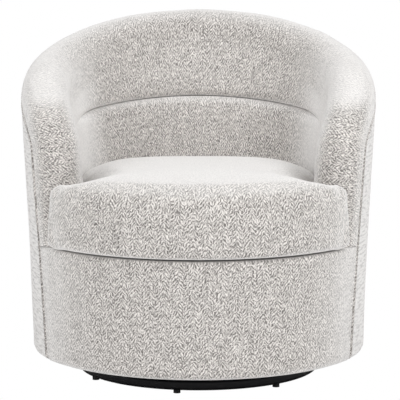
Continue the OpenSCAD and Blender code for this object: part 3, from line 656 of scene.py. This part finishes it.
# How the cushion's cloth answers the pressure of its filling
CLOTH_FEEL = {
    "quality": 5,
    "mass": 0.3,
    "tension_stiffness": 18,
    "compression_stiffness": 12,
    "shear_stiffness": 8,
    "bending_stiffness": 1.2,
    "use_pressure": True,
    "uniform_pressure_force": 3.0,
    "vertex_group_mass": "held",
}
SWELL_FRAMES = 16
SWELL_CAP = 10 * MM
HELD_HEIGHT = 8 * MM


def swell_cushion(obj):
    """Puff the cushion up with cloth pressure, held at its foot, and limit how far a point may move."""
    start = [v.co.copy() for v in obj.data.vertices]
    held = obj.vertex_groups.new(name="held")
    held.add([i for i, v in enumerate(start) if v.z < CUSHION_Z + HELD_HEIGHT], 1.0, "REPLACE")
    cloth = obj.modifiers.new("cloth", "CLOTH")
    for key, value in CLOTH_FEEL.items():
        setattr(cloth.settings, key, value)
    cloth.settings.effector_weights.gravity = 0
    cloth.collision_settings.use_collision = False
    cloth.point_cache.frame_start = 1
    cloth.point_cache.frame_end = SWELL_FRAMES
    scene = bpy.context.scene
    for f in range(1, SWELL_FRAMES + 1):
        scene.frame_set(f)
    settle_modifier(obj, cloth)
    scene.frame_set(1)
    for v, old in zip(obj.data.vertices, start):
        move = v.co - old
        if move.length > SWELL_CAP:
            v.co = old + move * (SWELL_CAP / move.length)
    obj.vertex_groups.clear()


CROWN_POWER = 2.4
CROWN_REACH = 240 * MM
CROWN_FADE = 0.8 * CUSHION_ROUND
CROWN_POINTS = 900
SWELL_ROOM = 8 * MM


def raise_crown(obj):
    """Lift the top by its distance from the cushion's edge, which crowns the middle and the ears alike."""
    line = cushion_outline(CROWN_POINTS)
    edge = kdtree.KDTree(len(line))
    for i, p in enumerate(line):
        edge.insert((p.x, p.y, 0), i)
    edge.balance()
    lift = CUSHION_CROWN_Z - CUSHION_EDGE_Z - SWELL_ROOM
    start = CUSHION_EDGE_Z - CUSHION_ROUND
    for v in obj.data.vertices:
        if v.co.z > start:
            far = edge.find((v.co.x, v.co.y, 0))[2]
            rise = 1 - (1 - clamp(far / CROWN_REACH)) ** CROWN_POWER
            v.co.z += lift * rise * smooth((v.co.z - start) / CROWN_FADE)


CUSHION_VOXEL = 6 * MM
CUSHION_FOOT = CUSHION_Z + 0.6 * MM
WEAVE_SEAM_Z = CUSHION_EDGE_Z + 1 * MM
UNDERSIDE_NORMAL = -0.6


def lay_weave_on_cushion(obj):
    """Lay the cloth on the cushion: from above on its top and underside, and round its sides."""
    mesh = obj.data
    layer = mesh.attributes.new(name="cloth", type="FLOAT_VECTOR", domain="CORNER")
    for poly in mesh.polygons:
        poly.use_smooth = True
        flat = poly.normal.z < UNDERSIDE_NORMAL or poly.center.z > WEAVE_SEAM_Z
        for k in poly.loop_indices:
            co = mesh.vertices[mesh.loops[k].vertex_index].co
            round_place = (math.atan2(co.x, -co.y) * BARREL_R, co.z, 0)
            layer.data[k].vector = (co.x, co.y, 0) if flat else round_place


def cushion_cover():
    """The seat cushion, filled: remeshed, crowned, swelled and evened out."""
    obj = cushion_form()
    apply_modifier(obj, "REMESH", mode="VOXEL", voxel_size=CUSHION_VOXEL)
    raise_crown(obj)
    swell_cushion(obj)
    apply_modifier(obj, "SMOOTH", factor=0.5, iterations=6)
    for v in obj.data.vertices:
        v.co.z = max(v.co.z, CUSHION_FOOT)
    lay_weave_on_cushion(obj)
    return obj


# Helpers for building node trees
def group_tree(name, inputs, outputs):
    """A shader node group with its named sockets."""
    tree = bpy.data.node_groups.new(name, "ShaderNodeTree")
    for label, kind, value in inputs:
        socket = tree.interface.new_socket(name=label, in_out="INPUT", socket_type=kind)
        if value is not None:
            socket.default_value = value
    for label, kind in outputs:
        tree.interface.new_socket(name=label, in_out="OUTPUT", socket_type=kind)
    return tree, tree.nodes.new("NodeGroupInput"), tree.nodes.new("NodeGroupOutput")


def node(tree, kind, **settings):
    made = tree.nodes.new(kind)
    for key, value in settings.items():
        setattr(made, key, value)
    return made


def link(tree, a, b):
    tree.links.new(a, b)


def maths(tree, operation, a, b=None, c=None):
    """A Math node; each value is a number or the output of another node."""
    made = node(tree, "ShaderNodeMath", operation=operation)
    for k, value in enumerate((a, b, c)):
        if value is None:
            continue
        if isinstance(value, (int, float)):
            made.inputs[k].default_value = value
        else:
            link(tree, value, made.inputs[k])
    return made.outputs[0]


def noise_value(tree, vector, scale, detail=2.0, rough=0.5):
    made = node(tree, "ShaderNodeTexNoise")
    if isinstance(scale, (int, float)):
        made.inputs["Scale"].default_value = scale
    else:
        link(tree, scale, made.inputs["Scale"])
    made.inputs["Detail"].default_value = detail
    made.inputs["Roughness"].default_value = rough
    link(tree, vector, made.inputs["Vector"])
    return made.outputs["Fac"]


def mapped(tree, value, from_min=0.0, from_max=1.0, to_min=0.0, to_max=1.0, smoothly=False):
    """A Map Range node, straight or with soft ends."""
    made = node(tree, "ShaderNodeMapRange")
    if smoothly:
        made.interpolation_type = "SMOOTHSTEP"
    ends = {"From Min": from_min, "From Max": from_max, "To Min": to_min, "To Max": to_max}
    for label, number in ends.items():
        made.inputs[label].default_value = number
    link(tree, value, made.inputs["Value"])
    return made.outputs[0]


# Places of a colour Mix node's two colours and of its result among its sockets
MIX_FIRST = 6
MIX_SECOND = 7
MIX_RESULT = 2


def mixed(tree, share, first, second):
    """A colour Mix node; each colour is a triple or the output of another node."""
    made = node(tree, "ShaderNodeMix", data_type="RGBA")
    link(tree, share, made.inputs["Factor"])
    for k, colour in ((MIX_FIRST, first), (MIX_SECOND, second)):
        if isinstance(colour, tuple):
            made.inputs[k].default_value = (*colour, 1)
        else:
            link(tree, colour, made.inputs[k])
    return made.outputs[MIX_RESULT]


def bumped(tree, skin, height, strength, distance):
    """Feed a height into the shader's normal."""
    bump = node(tree, "ShaderNodeBump")
    bump.inputs["Strength"].default_value = strength
    bump.inputs["Distance"].default_value = distance
    link(tree, height, bump.inputs["Height"])
    link(tree, bump.outputs["Normal"], skin.inputs["Normal"])


def set_shader(skin, **values):
    """Plain values on the shader's own sockets, named as the sockets are with _ for a space."""
    for label, value in values.items():
        skin.inputs[label.replace("_", " ")].default_value = value


def placed(tree, group, **values):
    """A node group in a material, with that material's own values."""
    made = node(tree, "ShaderNodeGroup")
    made.node_tree = group
    for label, value in values.items():
        made.inputs[label].default_value = (*value, 1) if isinstance(value, tuple) else value
    return made


# The tweed's yarns, columns and slubs; the slant flips at a share of a column, and the bend is in turns
WEAVE_RIB = 7.2 * MM
WEAVE_RISE = 8.2 * MM
WEAVE_COLUMN = 30 * MM
COLUMN_DRIFT = 12 * MM
COLUMN_FLIP = 0.62
YARN_BEND = 1.8
YARN_LENGTH = 4 * MM
SLUB_LENGTH = 26 * MM
SLUB_HEIGHT = 5 * MM
SLUB_TONE = 0.6


def tweed_group():
    """Broken-herringbone tweed: yarns that slant one way in most of each column and back in the rest."""
    tree, enter, leave = group_tree(
        "tweed_weave",
        [("Cloth", "NodeSocketVector", None), ("Rib", "NodeSocketFloat", WEAVE_RIB),
         ("Rise", "NodeSocketFloat", WEAVE_RISE), ("Column", "NodeSocketFloat", WEAVE_COLUMN),
         ("Contrast", "NodeSocketFloat", 1.0), ("Light", "NodeSocketColor", (0.8, 0.78, 0.76, 1)),
         ("Dark", "NodeSocketColor", (0.3, 0.29, 0.28, 1))],
        [("Color", "NodeSocketColor"), ("Height", "NodeSocketFloat"), ("Slub", "NodeSocketFloat")])
    cloth = enter.outputs["Cloth"]
    split = node(tree, "ShaderNodeSeparateXYZ")
    link(tree, cloth, split.inputs[0])
    x, y = split.outputs[0], split.outputs[1]
    drift = maths(tree, "MULTIPLY_ADD", noise_value(tree, cloth, 30.0, 2.0), COLUMN_DRIFT, -COLUMN_DRIFT / 2)
    turn = maths(tree, "FRACT", maths(tree, "DIVIDE", maths(tree, "ADD", x, drift), enter.outputs["Column"]))
    flip = maths(tree, "MULTIPLY_ADD", maths(tree, "GREATER_THAN", turn, COLUMN_FLIP), -2.0, 1.0)
    bend = maths(tree, "MULTIPLY_ADD", noise_value(tree, cloth, 130.0, 3.0), YARN_BEND, -YARN_BEND / 2)
    slope = maths(tree, "MULTIPLY", maths(tree, "DIVIDE", x, enter.outputs["Rib"]), flip)
    rise = maths(tree, "DIVIDE", y, enter.outputs["Rise"])
    phase = maths(tree, "ADD", maths(tree, "SUBTRACT", rise, slope), bend)
    swing = maths(tree, "SINE", maths(tree, "MULTIPLY", phase, math.tau))
    wave = maths(tree, "MULTIPLY_ADD", swing, 0.5, 0.5)
    # short flecks of dark yarn, drawn out along the slant
    place = node(tree, "ShaderNodeCombineXYZ")
    link(tree, maths(tree, "MULTIPLY", phase, 2.2), place.inputs[0])
    link(tree, maths(tree, "DIVIDE", x, YARN_LENGTH), place.inputs[1])
    fleck = noise_value(tree, place.outputs[0], 1.0, 3.0, 0.6)
    grain = noise_value(tree, cloth, 420.0, 2.0, 0.6)
    patch = noise_value(tree, cloth, 30.0, 3.0, 0.6)
    dark = maths(tree, "MULTIPLY", maths(tree, "SUBTRACT", 1.0, wave), 0.5)
    for part, weight in ((fleck, 3.4), (grain, 1.2), (patch, 0.4)):
        dark = maths(tree, "MULTIPLY_ADD", maths(tree, "SUBTRACT", part, 0.5), weight, dark)
    share = maths(tree, "MULTIPLY", mapped(tree, dark, -0.3, 0.8, smoothly=True), enter.outputs["Contrast"])
    link(tree, mixed(tree, share, enter.outputs["Light"], enter.outputs["Dark"]), leave.inputs["Color"])
    yarns = maths(tree, "MULTIPLY", maths(tree, "ADD", grain, fleck), 0.5)
    link(tree, maths(tree, "MULTIPLY_ADD", wave, 0.4, yarns), leave.inputs["Height"])
    # slubs lie level and long, so they still show where the cloth is seen along its face
    level = node(tree, "ShaderNodeCombineXYZ")
    link(tree, maths(tree, "DIVIDE", x, SLUB_LENGTH), level.inputs[0])
    link(tree, maths(tree, "DIVIDE", y, SLUB_HEIGHT), level.inputs[1])
    slub = noise_value(tree, level.outputs[0], 1.0, 1.0)
    link(tree, mapped(tree, slub, 0.44, 0.66, smoothly=True), leave.inputs["Slub"])
    return tree


def grain_group():
    """A grain between two tones, for plywood, rubber, nylon, thread and lining."""
    tree, enter, leave = group_tree(
        "fine_grain",
        [("Place", "NodeSocketVector", None), ("Scale", "NodeSocketFloat", 100.0),
         ("Low", "NodeSocketColor", (0.1, 0.1, 0.1, 1)), ("High", "NodeSocketColor", (0.5, 0.5, 0.5, 1))],
        [("Color", "NodeSocketColor"), ("Height", "NodeSocketFloat")])
    grain = noise_value(tree, enter.outputs["Place"], enter.outputs["Scale"], 5.0, 0.6)
    share = mapped(tree, grain, 0.3, 0.72)
    link(tree, mixed(tree, share, enter.outputs["Low"], enter.outputs["High"]), leave.inputs["Color"])
    link(tree, grain, leave.inputs["Height"])
    return tree


def new_material(name):
    mat = bpy.data.materials.new(name)
    mat.use_nodes = True
    tree = mat.node_tree
    return mat, tree, tree.nodes["Principled BSDF"]


WEAVE = tweed_group()
GRAIN = grain_group()


# How far painted light hides the weave: a painted sheen where the cloth is seen along its face, painted
# highlights on the arm bends and tops, and painted top light on upward faces
GRAZING_SHEEN_HIDES = 0.8
HIGHLIGHT_HIDES = 0.75
TOP_LIGHT_HIDES = 0.4


def tweed(name, light, dark, pale, sheen):
    """Tweed whose weave gives way to a pale painted sheen where the cloth is seen along its face, and to
    painted highlights and painted top light.
    """
    mat, tree, skin = new_material(name)
    weave = placed(tree, WEAVE, Light=light, Dark=dark)
    place = node(tree, "ShaderNodeAttribute", attribute_name="cloth")
    link(tree, place.outputs["Vector"], weave.inputs["Cloth"])
    facing = node(tree, "ShaderNodeLayerWeight")
    facing.inputs["Blend"].default_value = 0.5
    # painted sheen: the cloth turns pale where it is seen along its face
    grazing_sheen = mapped(tree, facing.outputs["Facing"], 0.16, 0.84, 0.0, GRAZING_SHEEN_HIDES, smoothly=True)
    # painted highlights on the arm bends and tops, and painted top light on upward faces, hide the weave too
    painted_light = node(tree, "ShaderNodeAttribute", attribute_name="painted_light").outputs["Fac"]
    highlight_share = maths(tree, "MULTIPLY", painted_light, HIGHLIGHT_HIDES)
    normal = node(tree, "ShaderNodeSeparateXYZ")
    link(tree, node(tree, "ShaderNodeNewGeometry").outputs["Normal"], normal.inputs[0])
    upward = normal.outputs[2]
    # painted top light: upward faces turn paler
    top_light = mapped(tree, upward, 0.45, 1.0, 0.0, TOP_LIGHT_HIDES, smoothly=True)
    painted_light_share = maths(tree, "MAXIMUM", maths(tree, "MAXIMUM", grazing_sheen, highlight_share), top_light)
    # slubs give the painted sheen some random tone on the standing cloth, off the painted highlights
    upright = maths(tree, "SUBTRACT", 1.0, maths(tree, "ABSOLUTE", upward))
    plain = maths(tree, "MULTIPLY", upright, maths(tree, "SUBTRACT", 1.0, painted_light))
    slubs = maths(tree, "MULTIPLY", weave.outputs["Slub"], maths(tree, "MULTIPLY", grazing_sheen, plain))
    # the colour of the painted sheen, with darker slubs in it
    painted_sheen_colour = mixed(tree, slubs, pale, tuple(c * SLUB_TONE for c in pale))
    link(tree, mixed(tree, painted_light_share, weave.outputs["Color"], painted_sheen_colour), skin.inputs["Base Color"])
    set_shader(skin, Roughness=0.95, Specular_IOR_Level=0.15, Sheen_Weight=sheen, Sheen_Roughness=0.5,
               Sheen_Tint=(1, 0.99, 0.98, 1))
    bumped(tree, skin, weave.outputs["Height"], 0.5, 1.2 * MM)
    return mat


def object_place(tree):
    return node(tree, "ShaderNodeTexCoord").outputs["Object"]


def stretched_place(tree, stretch):
    """The object's own coordinates, scaled along each axis."""
    shift = node(tree, "ShaderNodeMapping")
    shift.inputs["Scale"].default_value = stretch
    link(tree, object_place(tree), shift.inputs["Vector"])
    return shift.outputs["Vector"]


def painted_steel(name, colour, rough, bump_scale):
    """Satin powder coat with a fine orange-peel skin and dust in its tone."""
    mat, tree, skin = new_material(name)
    place = object_place(tree)
    tone = noise_value(tree, place, 9.0, 4.0)
    dust = noise_value(tree, place, 60.0, 3.0, 0.6)
    both = maths(tree, "MULTIPLY_ADD", dust, 0.5, maths(tree, "MULTIPLY", tone, 0.5))
    low, high = tuple(c * 0.75 for c in colour), tuple(c * 1.5 for c in colour)
    link(tree, mixed(tree, mapped(tree, both, 0.3, 0.7), low, high), skin.inputs["Base Color"])
    link(tree, mapped(tree, tone, to_min=rough - 0.08, to_max=rough + 0.1), skin.inputs["Roughness"])
    set_shader(skin, Specular_IOR_Level=0.22)
    bumped(tree, skin, noise_value(tree, place, bump_scale, 2.0), 0.2, 0.3 * MM)
    return mat


def plated_steel(name):
    """Zinc plate with level streaks."""
    mat, tree, skin = new_material(name)
    streak = noise_value(tree, stretched_place(tree, (1, 1, 14)), 60.0, 3.0)
    tone = mixed(tree, mapped(tree, streak, 0.3, 0.7), (0.42, 0.42, 0.44), (0.62, 0.62, 0.6))
    link(tree, tone, skin.inputs["Base Color"])
    link(tree, mapped(tree, streak, to_min=0.28, to_max=0.5), skin.inputs["Roughness"])
    set_shader(skin, Metallic=1.0)
    return mat


def grained(name, low, high, scale, stretch, rough, bump_height):
    """A finish of one grain, with its own roughness and a fine bump."""
    mat, tree, skin = new_material(name)
    grain = placed(tree, GRAIN, Scale=scale, Low=low, High=high)
    link(tree, stretched_place(tree, stretch), grain.inputs["Place"])
    link(tree, grain.outputs["Color"], skin.inputs["Base Color"])
    set_shader(skin, Roughness=rough)
    bumped(tree, skin, grain.outputs["Height"], 0.4, bump_height)
    return mat


TWEED = tweed("tweed", (0.828, 0.79, 0.758), (0.15, 0.14, 0.132), (0.87, 0.859, 0.848), 0.25)
EVEN = (1, 1, 1)
ALONG_THE_PLY = (1, 6, 40)
finishes = {
    "tweed": TWEED,
    "black_paint": painted_steel("black_paint", (0.006, 0.006, 0.0075), 0.45, 900.0),
    "zinc_steel": plated_steel("zinc_steel"),
    "rubber": grained("rubber", (0.012, 0.012, 0.012), (0.03, 0.03, 0.03), 220.0, EVEN, 0.75, 0.3 * MM),
    "nylon": grained("nylon", (0.66, 0.65, 0.6), (0.76, 0.75, 0.7), 90.0, EVEN, 0.4, 0.1 * MM),
    "plywood": grained("plywood", (0.46, 0.30, 0.16), (0.68, 0.50, 0.31), 9.0, ALONG_THE_PLY, 0.6, 0.4 * MM),
    "thread": grained("thread", (0.30, 0.28, 0.265), (0.52, 0.49, 0.47), 900.0, EVEN, 0.8, 0.2 * MM),
    "lining": grained("lining", (0.015, 0.015, 0.017), (0.05, 0.05, 0.053), 700.0, EVEN, 0.95, 0.4 * MM),
}
slot_of = {row["node"]: row["material_slot"] for row in frame["record"]["subparts"]}
for name, obj in frame["nodes"].items():
    obj.data.materials.clear()
    obj.data.materials.append(finishes[slot_of[name]])


# Soft pieces
def dress(obj, fill, *nodes):
    """Cover the padding of some solids with a piece of tweed that rides on the seat."""
    obj.data.materials.append(TWEED)
    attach(obj, "seat")
    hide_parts(*nodes)


dress(tub_cover(), 0.8, "arm_roll_left", "arm_roll_right", "back_roll", "inner_arm_left", "inner_arm_right",
      "inner_back")
dress(lumbar_cover(), 0.8, "lumbar_pad")
dress(outer_cover(), 0.5, "outer_wrap")
dress(apron_cover(), 0.5, "front_apron")
dress(cushion_cover(), 0.75, "seat_cushion")


# Stitches in two rows beside the outside seam
STITCH_PITCH = 8 * MM
STITCH_L = 5.6 * MM
STITCH_R = 0.75 * MM
STITCH_OFF = 5 * MM
STITCH_WANDER = 0.4 * MM
STITCH_BOW = 4 * STITCH_R
STITCH_SIDES = 6
# Shares of a stitch's length from its middle, and its thickness there
STITCH_SHAPE = [(-0.5, 0.35), (-0.36, 0.9), (0, 1), (0.36, 0.9), (0.5, 0.35)]
SEAM_LOW_HEIGHTS = (SKIRT_Z + 4 * MM, SKIRT_Z + SKIRT_ROUND, 140 * MM, 220 * MM)


def seam_line():
    """The outside seam as points on the barrel: up one arm's front, over the back and down again."""
    low = [Vector((SHEET_FRONT, z)) for z in SEAM_LOW_HEIGHTS]
    whole = low + rim_edge + [Vector((-p.x, p.y)) for p in reversed(low)]
    return [wall_point(p.x, p.y, WALL_HALF) for p in whole]


# A direction that no stitch and no wire runs along, from which their sections are turned
SECTION_UP = Vector((0.05, 0.1, 1))


def tube_rings(points, radii, sides):
    """Rings of vertices round a line of points, with a radius for each point."""
    rings = []
    last = len(points) - 1
    for i, (p, r) in enumerate(zip(points, radii)):
        t = (points[min(last, i + 1)] - points[max(0, i - 1)]).normalized()
        side = t.cross(SECTION_UP).normalized()
        up = side.cross(t)
        for k in range(sides):
            f = math.tau * k / sides
            rings.append(p + r * (side * math.cos(f) + up * math.sin(f)))
    return rings


def tube_faces(start, rings, sides):
    """The skin of such rings, closed at both ends."""
    faces = []
    for i in range(rings - 1):
        for k in range(sides):
            a, b = start + i * sides + k, start + i * sides + (k + 1) % sides
            faces.append((a, b, b + sides, a + sides))
    faces.append(tuple(start + k for k in reversed(range(sides))))
    faces.append(tuple(start + (rings - 1) * sides + k for k in range(sides)))
    return faces


def outward_at(p):
    return Vector((p.x, p.y, 0)).normalized()


def seam_stitches():
    """A stitch on each side of the seam at every pitch, bowed into the cloth at its ends."""
    verts, faces = [], []
    line = seam_line()
    length = sum((b - a).length for a, b in zip(line, line[1:]))
    count = int(length / STITCH_PITCH)
    line = even_steps(line, 4 * count)
    raised = STITCH_R * 0.5 - seam_dip(STITCH_OFF)
    radii = [STITCH_R * share for e, share in STITCH_SHAPE]
    for i in range(2, 4 * count - 2, 4):
        mid = line[i]
        t = (line[i + 1] - line[i - 1]).normalized()
        side = t.cross(outward_at(mid)).normalized()
        for way in (-1, 1):
            wander = STITCH_WANDER * noise.noise(Vector((i * 0.37, way, 0)))
            at = mid + side * (way * STITCH_OFF + wander)
            out = outward_at(at)
            at += out * raised
            pts = [at + t * (STITCH_L * e) - out * (STITCH_BOW * e * e) for e, share in STITCH_SHAPE]
            faces += tube_faces(len(verts), len(pts), STITCH_SIDES)
            verts += tube_rings(pts, radii, STITCH_SIDES)
    return add_mesh("seam_stitches", verts, faces)


stitches = seam_stitches()
stitches.data.materials.append(finishes["thread"])
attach(stitches, "seat")


# Rocker springs, one wire each, between the cradle and the seat
SPRING_WIRE = 4.5 * MM
SPRING_R = 19 * MM
SPRING_CURLS = 6
SPRING_POINTS = 28
SPRING_SIDES = 10
SPRING_CLOSING = 0.4
SPRING_X = 74 * MM
SPRING_Y = 84 * MM
spring_low, spring_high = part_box("coil_springs")
spring_mid_r = SPRING_R - SPRING_WIRE / 2


def coil_spring(name, x, y):
    """One wire wound between its two cups."""
    rise = spring_high.z - spring_low.z - SPRING_WIRE
    steps = SPRING_CURLS * SPRING_POINTS
    pts = []
    for i in range(steps + 1):
        f = math.tau * i / SPRING_POINTS
        # the end curls lie closer than the middle ones
        t = i / steps
        t -= SPRING_CLOSING / math.tau * math.sin(math.tau * t)
        z = spring_low.z + SPRING_WIRE / 2 + rise * t
        pts.append(Vector((x + spring_mid_r * math.cos(f), y + spring_mid_r * math.sin(f), z)))
    verts = tube_rings(pts, [SPRING_WIRE / 2] * len(pts), SPRING_SIDES)
    obj = add_mesh(name, verts, tube_faces(0, len(pts), SPRING_SIDES))
    obj.data.materials.append(finishes["zinc_steel"])
    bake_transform(obj)
    return obj


for depth, y in (("front", -SPRING_Y), ("rear", SPRING_Y)):
    for width, x in (("left", -SPRING_X), ("right", SPRING_X)):
        coil_spring("rocker_spring_%s_%s" % (depth, width), x, y)
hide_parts("coil_springs")


# Sheets: the dust cover, the deck over the seat springs, and the webbing of the back
def lay(obj, flat, rests_on, area, *nodes):
    """A stretched sheet of lining cloth that rides on the seat; the size it was cut to is not used."""
    obj.data.materials.append(finishes["lining"])
    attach(obj, "seat")
    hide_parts(*nodes)


RING_COLUMNS = 144
RING_ROWS = 18
SAG_WAVES = 9
SAG_WAVE_SHARE = 0.35


def ring_sheet(name, inner, outer, z, sag):
    """A flat ring of cloth that sags a little between its edges."""
    verts, places = [], []
    for i in range(RING_COLUMNS):
        f = math.tau * i / RING_COLUMNS
        for j in range(RING_ROWS + 1):
            t = j / RING_ROWS
            r = between(inner, outer, t)
            drop = sag * math.sin(math.pi * t) * (1 + SAG_WAVE_SHARE * math.sin(SAG_WAVES * f))
            p = Vector((r * math.cos(f), r * math.sin(f), z - drop))
            verts.append(p)
            places.append((p.x, p.y))
    return add_mesh(name, verts, grid_faces(RING_COLUMNS, RING_ROWS + 1, closed=True), places)


def disc_area(r):
    return math.pi * r ** 2


DUST_IN = 228 * MM
DUST_DOWN = 0.4 * MM
DUST_SAG = 2.5 * MM
DECK_IN = 1 * MM
DECK_DOWN = 1 * MM
DECK_SAG = 0.5 * MM
dust_low, dust_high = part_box("dust_cover")
dust_r = (dust_high.x - dust_low.x) / 2
dust_cloth = ring_sheet("dust_cloth", DUST_IN, dust_r, dust_high.z - DUST_DOWN, DUST_SAG)
dust_area = disc_area(dust_r) - disc_area(DUST_IN)
lay(dust_cloth, (2 * dust_r, 2 * dust_r), ["mechanism_board"], dust_area, "dust_cover")
deck_low, deck_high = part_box("seat_deck")
deck_r = (deck_high.x - deck_low.x) / 2
deck_cloth = ring_sheet("deck_cloth", DECK_IN, deck_r, deck_high.z - DECK_DOWN, DECK_SAG)
lay(deck_cloth, (2 * deck_r, 2 * deck_r), ["seat_springs"], disc_area(deck_r), "seat_deck")


# Bands of webbing round the back, at shares of the height from the seat to the arm hoop
WEBBING_W = 49.75 * MM
WEBBING_SHARES = (0.2, 0.5, 0.8)
WEBBING_COLUMNS = 90
WEBBING_ROWS = 8
WEBBING_DIP = 0.5 * MM
WEBBING_BACK = 0.8 * MM
ARM_HOOP_Z = 500 * MM
FRAME_IN = 10 * MM


def webbing_band(name, z, reach):
    """A band of webbing across the inside of the frame, drawn in a little at its middle height."""
    verts, places = [], []
    r = barrel_at(z + WEBBING_W / 2) - WALL_HALF + FRAME_IN - WEBBING_BACK
    for i in range(WEBBING_COLUMNS + 1):
        a = reach * (2 * i / WEBBING_COLUMNS - 1)
        for j in range(WEBBING_ROWS + 1):
            t = j / WEBBING_ROWS
            dip = WEBBING_DIP * math.sin(math.pi * t)
            height = z + WEBBING_W * (t - 0.5)
            verts.append(Vector(((r + dip) * math.sin(a), (r + dip) * math.cos(a), height)))
            places.append((a * r, height))
    obj = add_mesh(name, verts, grid_faces(WEBBING_COLUMNS + 1, WEBBING_ROWS + 1), places)
    return obj, (WEBBING_W, 2 * reach * r)


webbing_low, webbing_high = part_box("back_webbing")
webbing_reach = math.acos(webbing_low.y / webbing_high.y)
for k, share in enumerate(WEBBING_SHARES):
    height = between(CUSHION_Z, ARM_HOOP_Z, share)
    band, flat = webbing_band("webbing_band_%d" % (k + 1), height, webbing_reach)
    # the first band stands for all three solids
    lay(band, flat, ["arm_hoop"], None, *(["back_webbing"] if k == 0 else []))


# Softened edges on the hard pieces
SOFTENED_FROM = math.radians(40)


def soften(width, *names):
    for name in names:
        bevel = frame["nodes"][name].modifiers.new("softened_edges", "BEVEL")
        bevel.width = width
        bevel.segments = 2
        bevel.limit_method = "ANGLE"
        bevel.angle_limit = SOFTENED_FROM


soften(1.2 * MM, "foot_pads", "base_crossbars")
soften(0.6 * MM, "rocker_cradle", "rocker_rail_left", "rocker_rail_right", "lower_bearing_plate",
       "upper_bearing_plate", "rock_stops", "king_bolt", "king_nut")
soften(1.5 * MM, "mechanism_board", "bottom_hoop", "seat_hoop", "arm_hoop", "back_rail")


# Floor, light and camera
def floor():
    """A floor that the camera sees as plain white, and that light leaves as it leaves a pale one."""
    bpy.ops.mesh.primitive_plane_add(size=40, location=(0, 0, 0))
    obj = bpy.context.active_object
    obj.name = "floor"
    mat, tree, skin = new_material("floor_white")
    set_shader(skin, Base_Color=(0.9, 0.9, 0.9, 1), Roughness=0.9)
    out = tree.nodes["Material Output"]
    path = node(tree, "ShaderNodeLightPath")
    glow = node(tree, "ShaderNodeEmission")
    mix = node(tree, "ShaderNodeMixShader")
    link(tree, path.outputs["Is Camera Ray"], mix.inputs[0])
    link(tree, skin.outputs[0], mix.inputs[1])
    link(tree, glow.outputs[0], mix.inputs[2])
    link(tree, mix.outputs[0], out.inputs["Surface"])
    obj.data.materials.append(mat)


def area_lamp(name, at, aim, size, power):
    lamp = bpy.data.lights.new(name, "AREA")
    lamp.shape = "RECTANGLE"
    lamp.size, lamp.size_y = size
    lamp.energy = power
    obj = bpy.data.objects.new(name, lamp)
    obj.location = at
    obj.rotation_euler = (Vector(aim) - Vector(at)).to_track_quat("-Z", "Y").to_euler()
    bpy.context.scene.collection.objects.link(obj)


# Soft boxes: name, place, what it is aimed at, width and height, and watts
LAMPS = [
    ("left", (-2.2, -2.0, 1.9), (0.2, 0, 0.5), (1.8, 1.8), 32),
    ("right", (1.8, -2.0, 2.3), (-0.2, 0, 0.5), (1.8, 1.8), 50),
    ("top", (0, 0, 3.4), (0, 0, 0.5), (2.6, 2.6), 11),
]
SKY_STRENGTH = 0.55


def studio():
    """An even white room, seen as plain white, and the soft boxes."""
    scene = bpy.context.scene
    scene.view_settings.view_transform = "Standard"
    world = bpy.data.worlds.new("studio_world")
    world.use_nodes = True
    scene.world = world
    tree = world.node_tree
    sky = tree.nodes["Background"]
    sky.inputs["Color"].default_value = (1, 1, 1, 1)
    path = node(tree, "ShaderNodeLightPath")
    seen = maths(tree, "MAXIMUM", path.outputs["Is Camera Ray"], path.outputs["Is Glossy Ray"])
    seen = maths(tree, "MAXIMUM", seen, path.outputs["Is Transmission Ray"])
    strength = maths(tree, "MULTIPLY_ADD", seen, 1 - SKY_STRENGTH, SKY_STRENGTH)
    link(tree, strength, sky.inputs["Strength"])
    for lamp in LAMPS:
        area_lamp(*lamp)


# The camera stands in front of the chair, a little above it, and looks slightly down
CAMERA_Y = -5.0
CAMERA_Z = 1.08
CAMERA_PITCH = 8.0
FOCAL_PX = 2291.0
FRAME_PX = 400.0
CENTRE_X_PX = 198.5
SENSOR = 36.0


def camera():
    lens = bpy.data.cameras.new("photo_camera")
    lens.sensor_width = SENSOR
    lens.sensor_fit = "HORIZONTAL"
    lens.lens = FOCAL_PX / FRAME_PX * SENSOR
    lens.shift_x = (FRAME_PX / 2 - CENTRE_X_PX) / FRAME_PX
    lens.clip_end = 100
    obj = bpy.data.objects.new("photo_camera", lens)
    obj.location = (0, CAMERA_Y, CAMERA_Z)
    obj.rotation_euler = (math.radians(90 - CAMERA_PITCH), 0, 0)
    bpy.context.scene.collection.objects.link(obj)
    bpy.context.scene.camera = obj


floor()
studio()
camera()
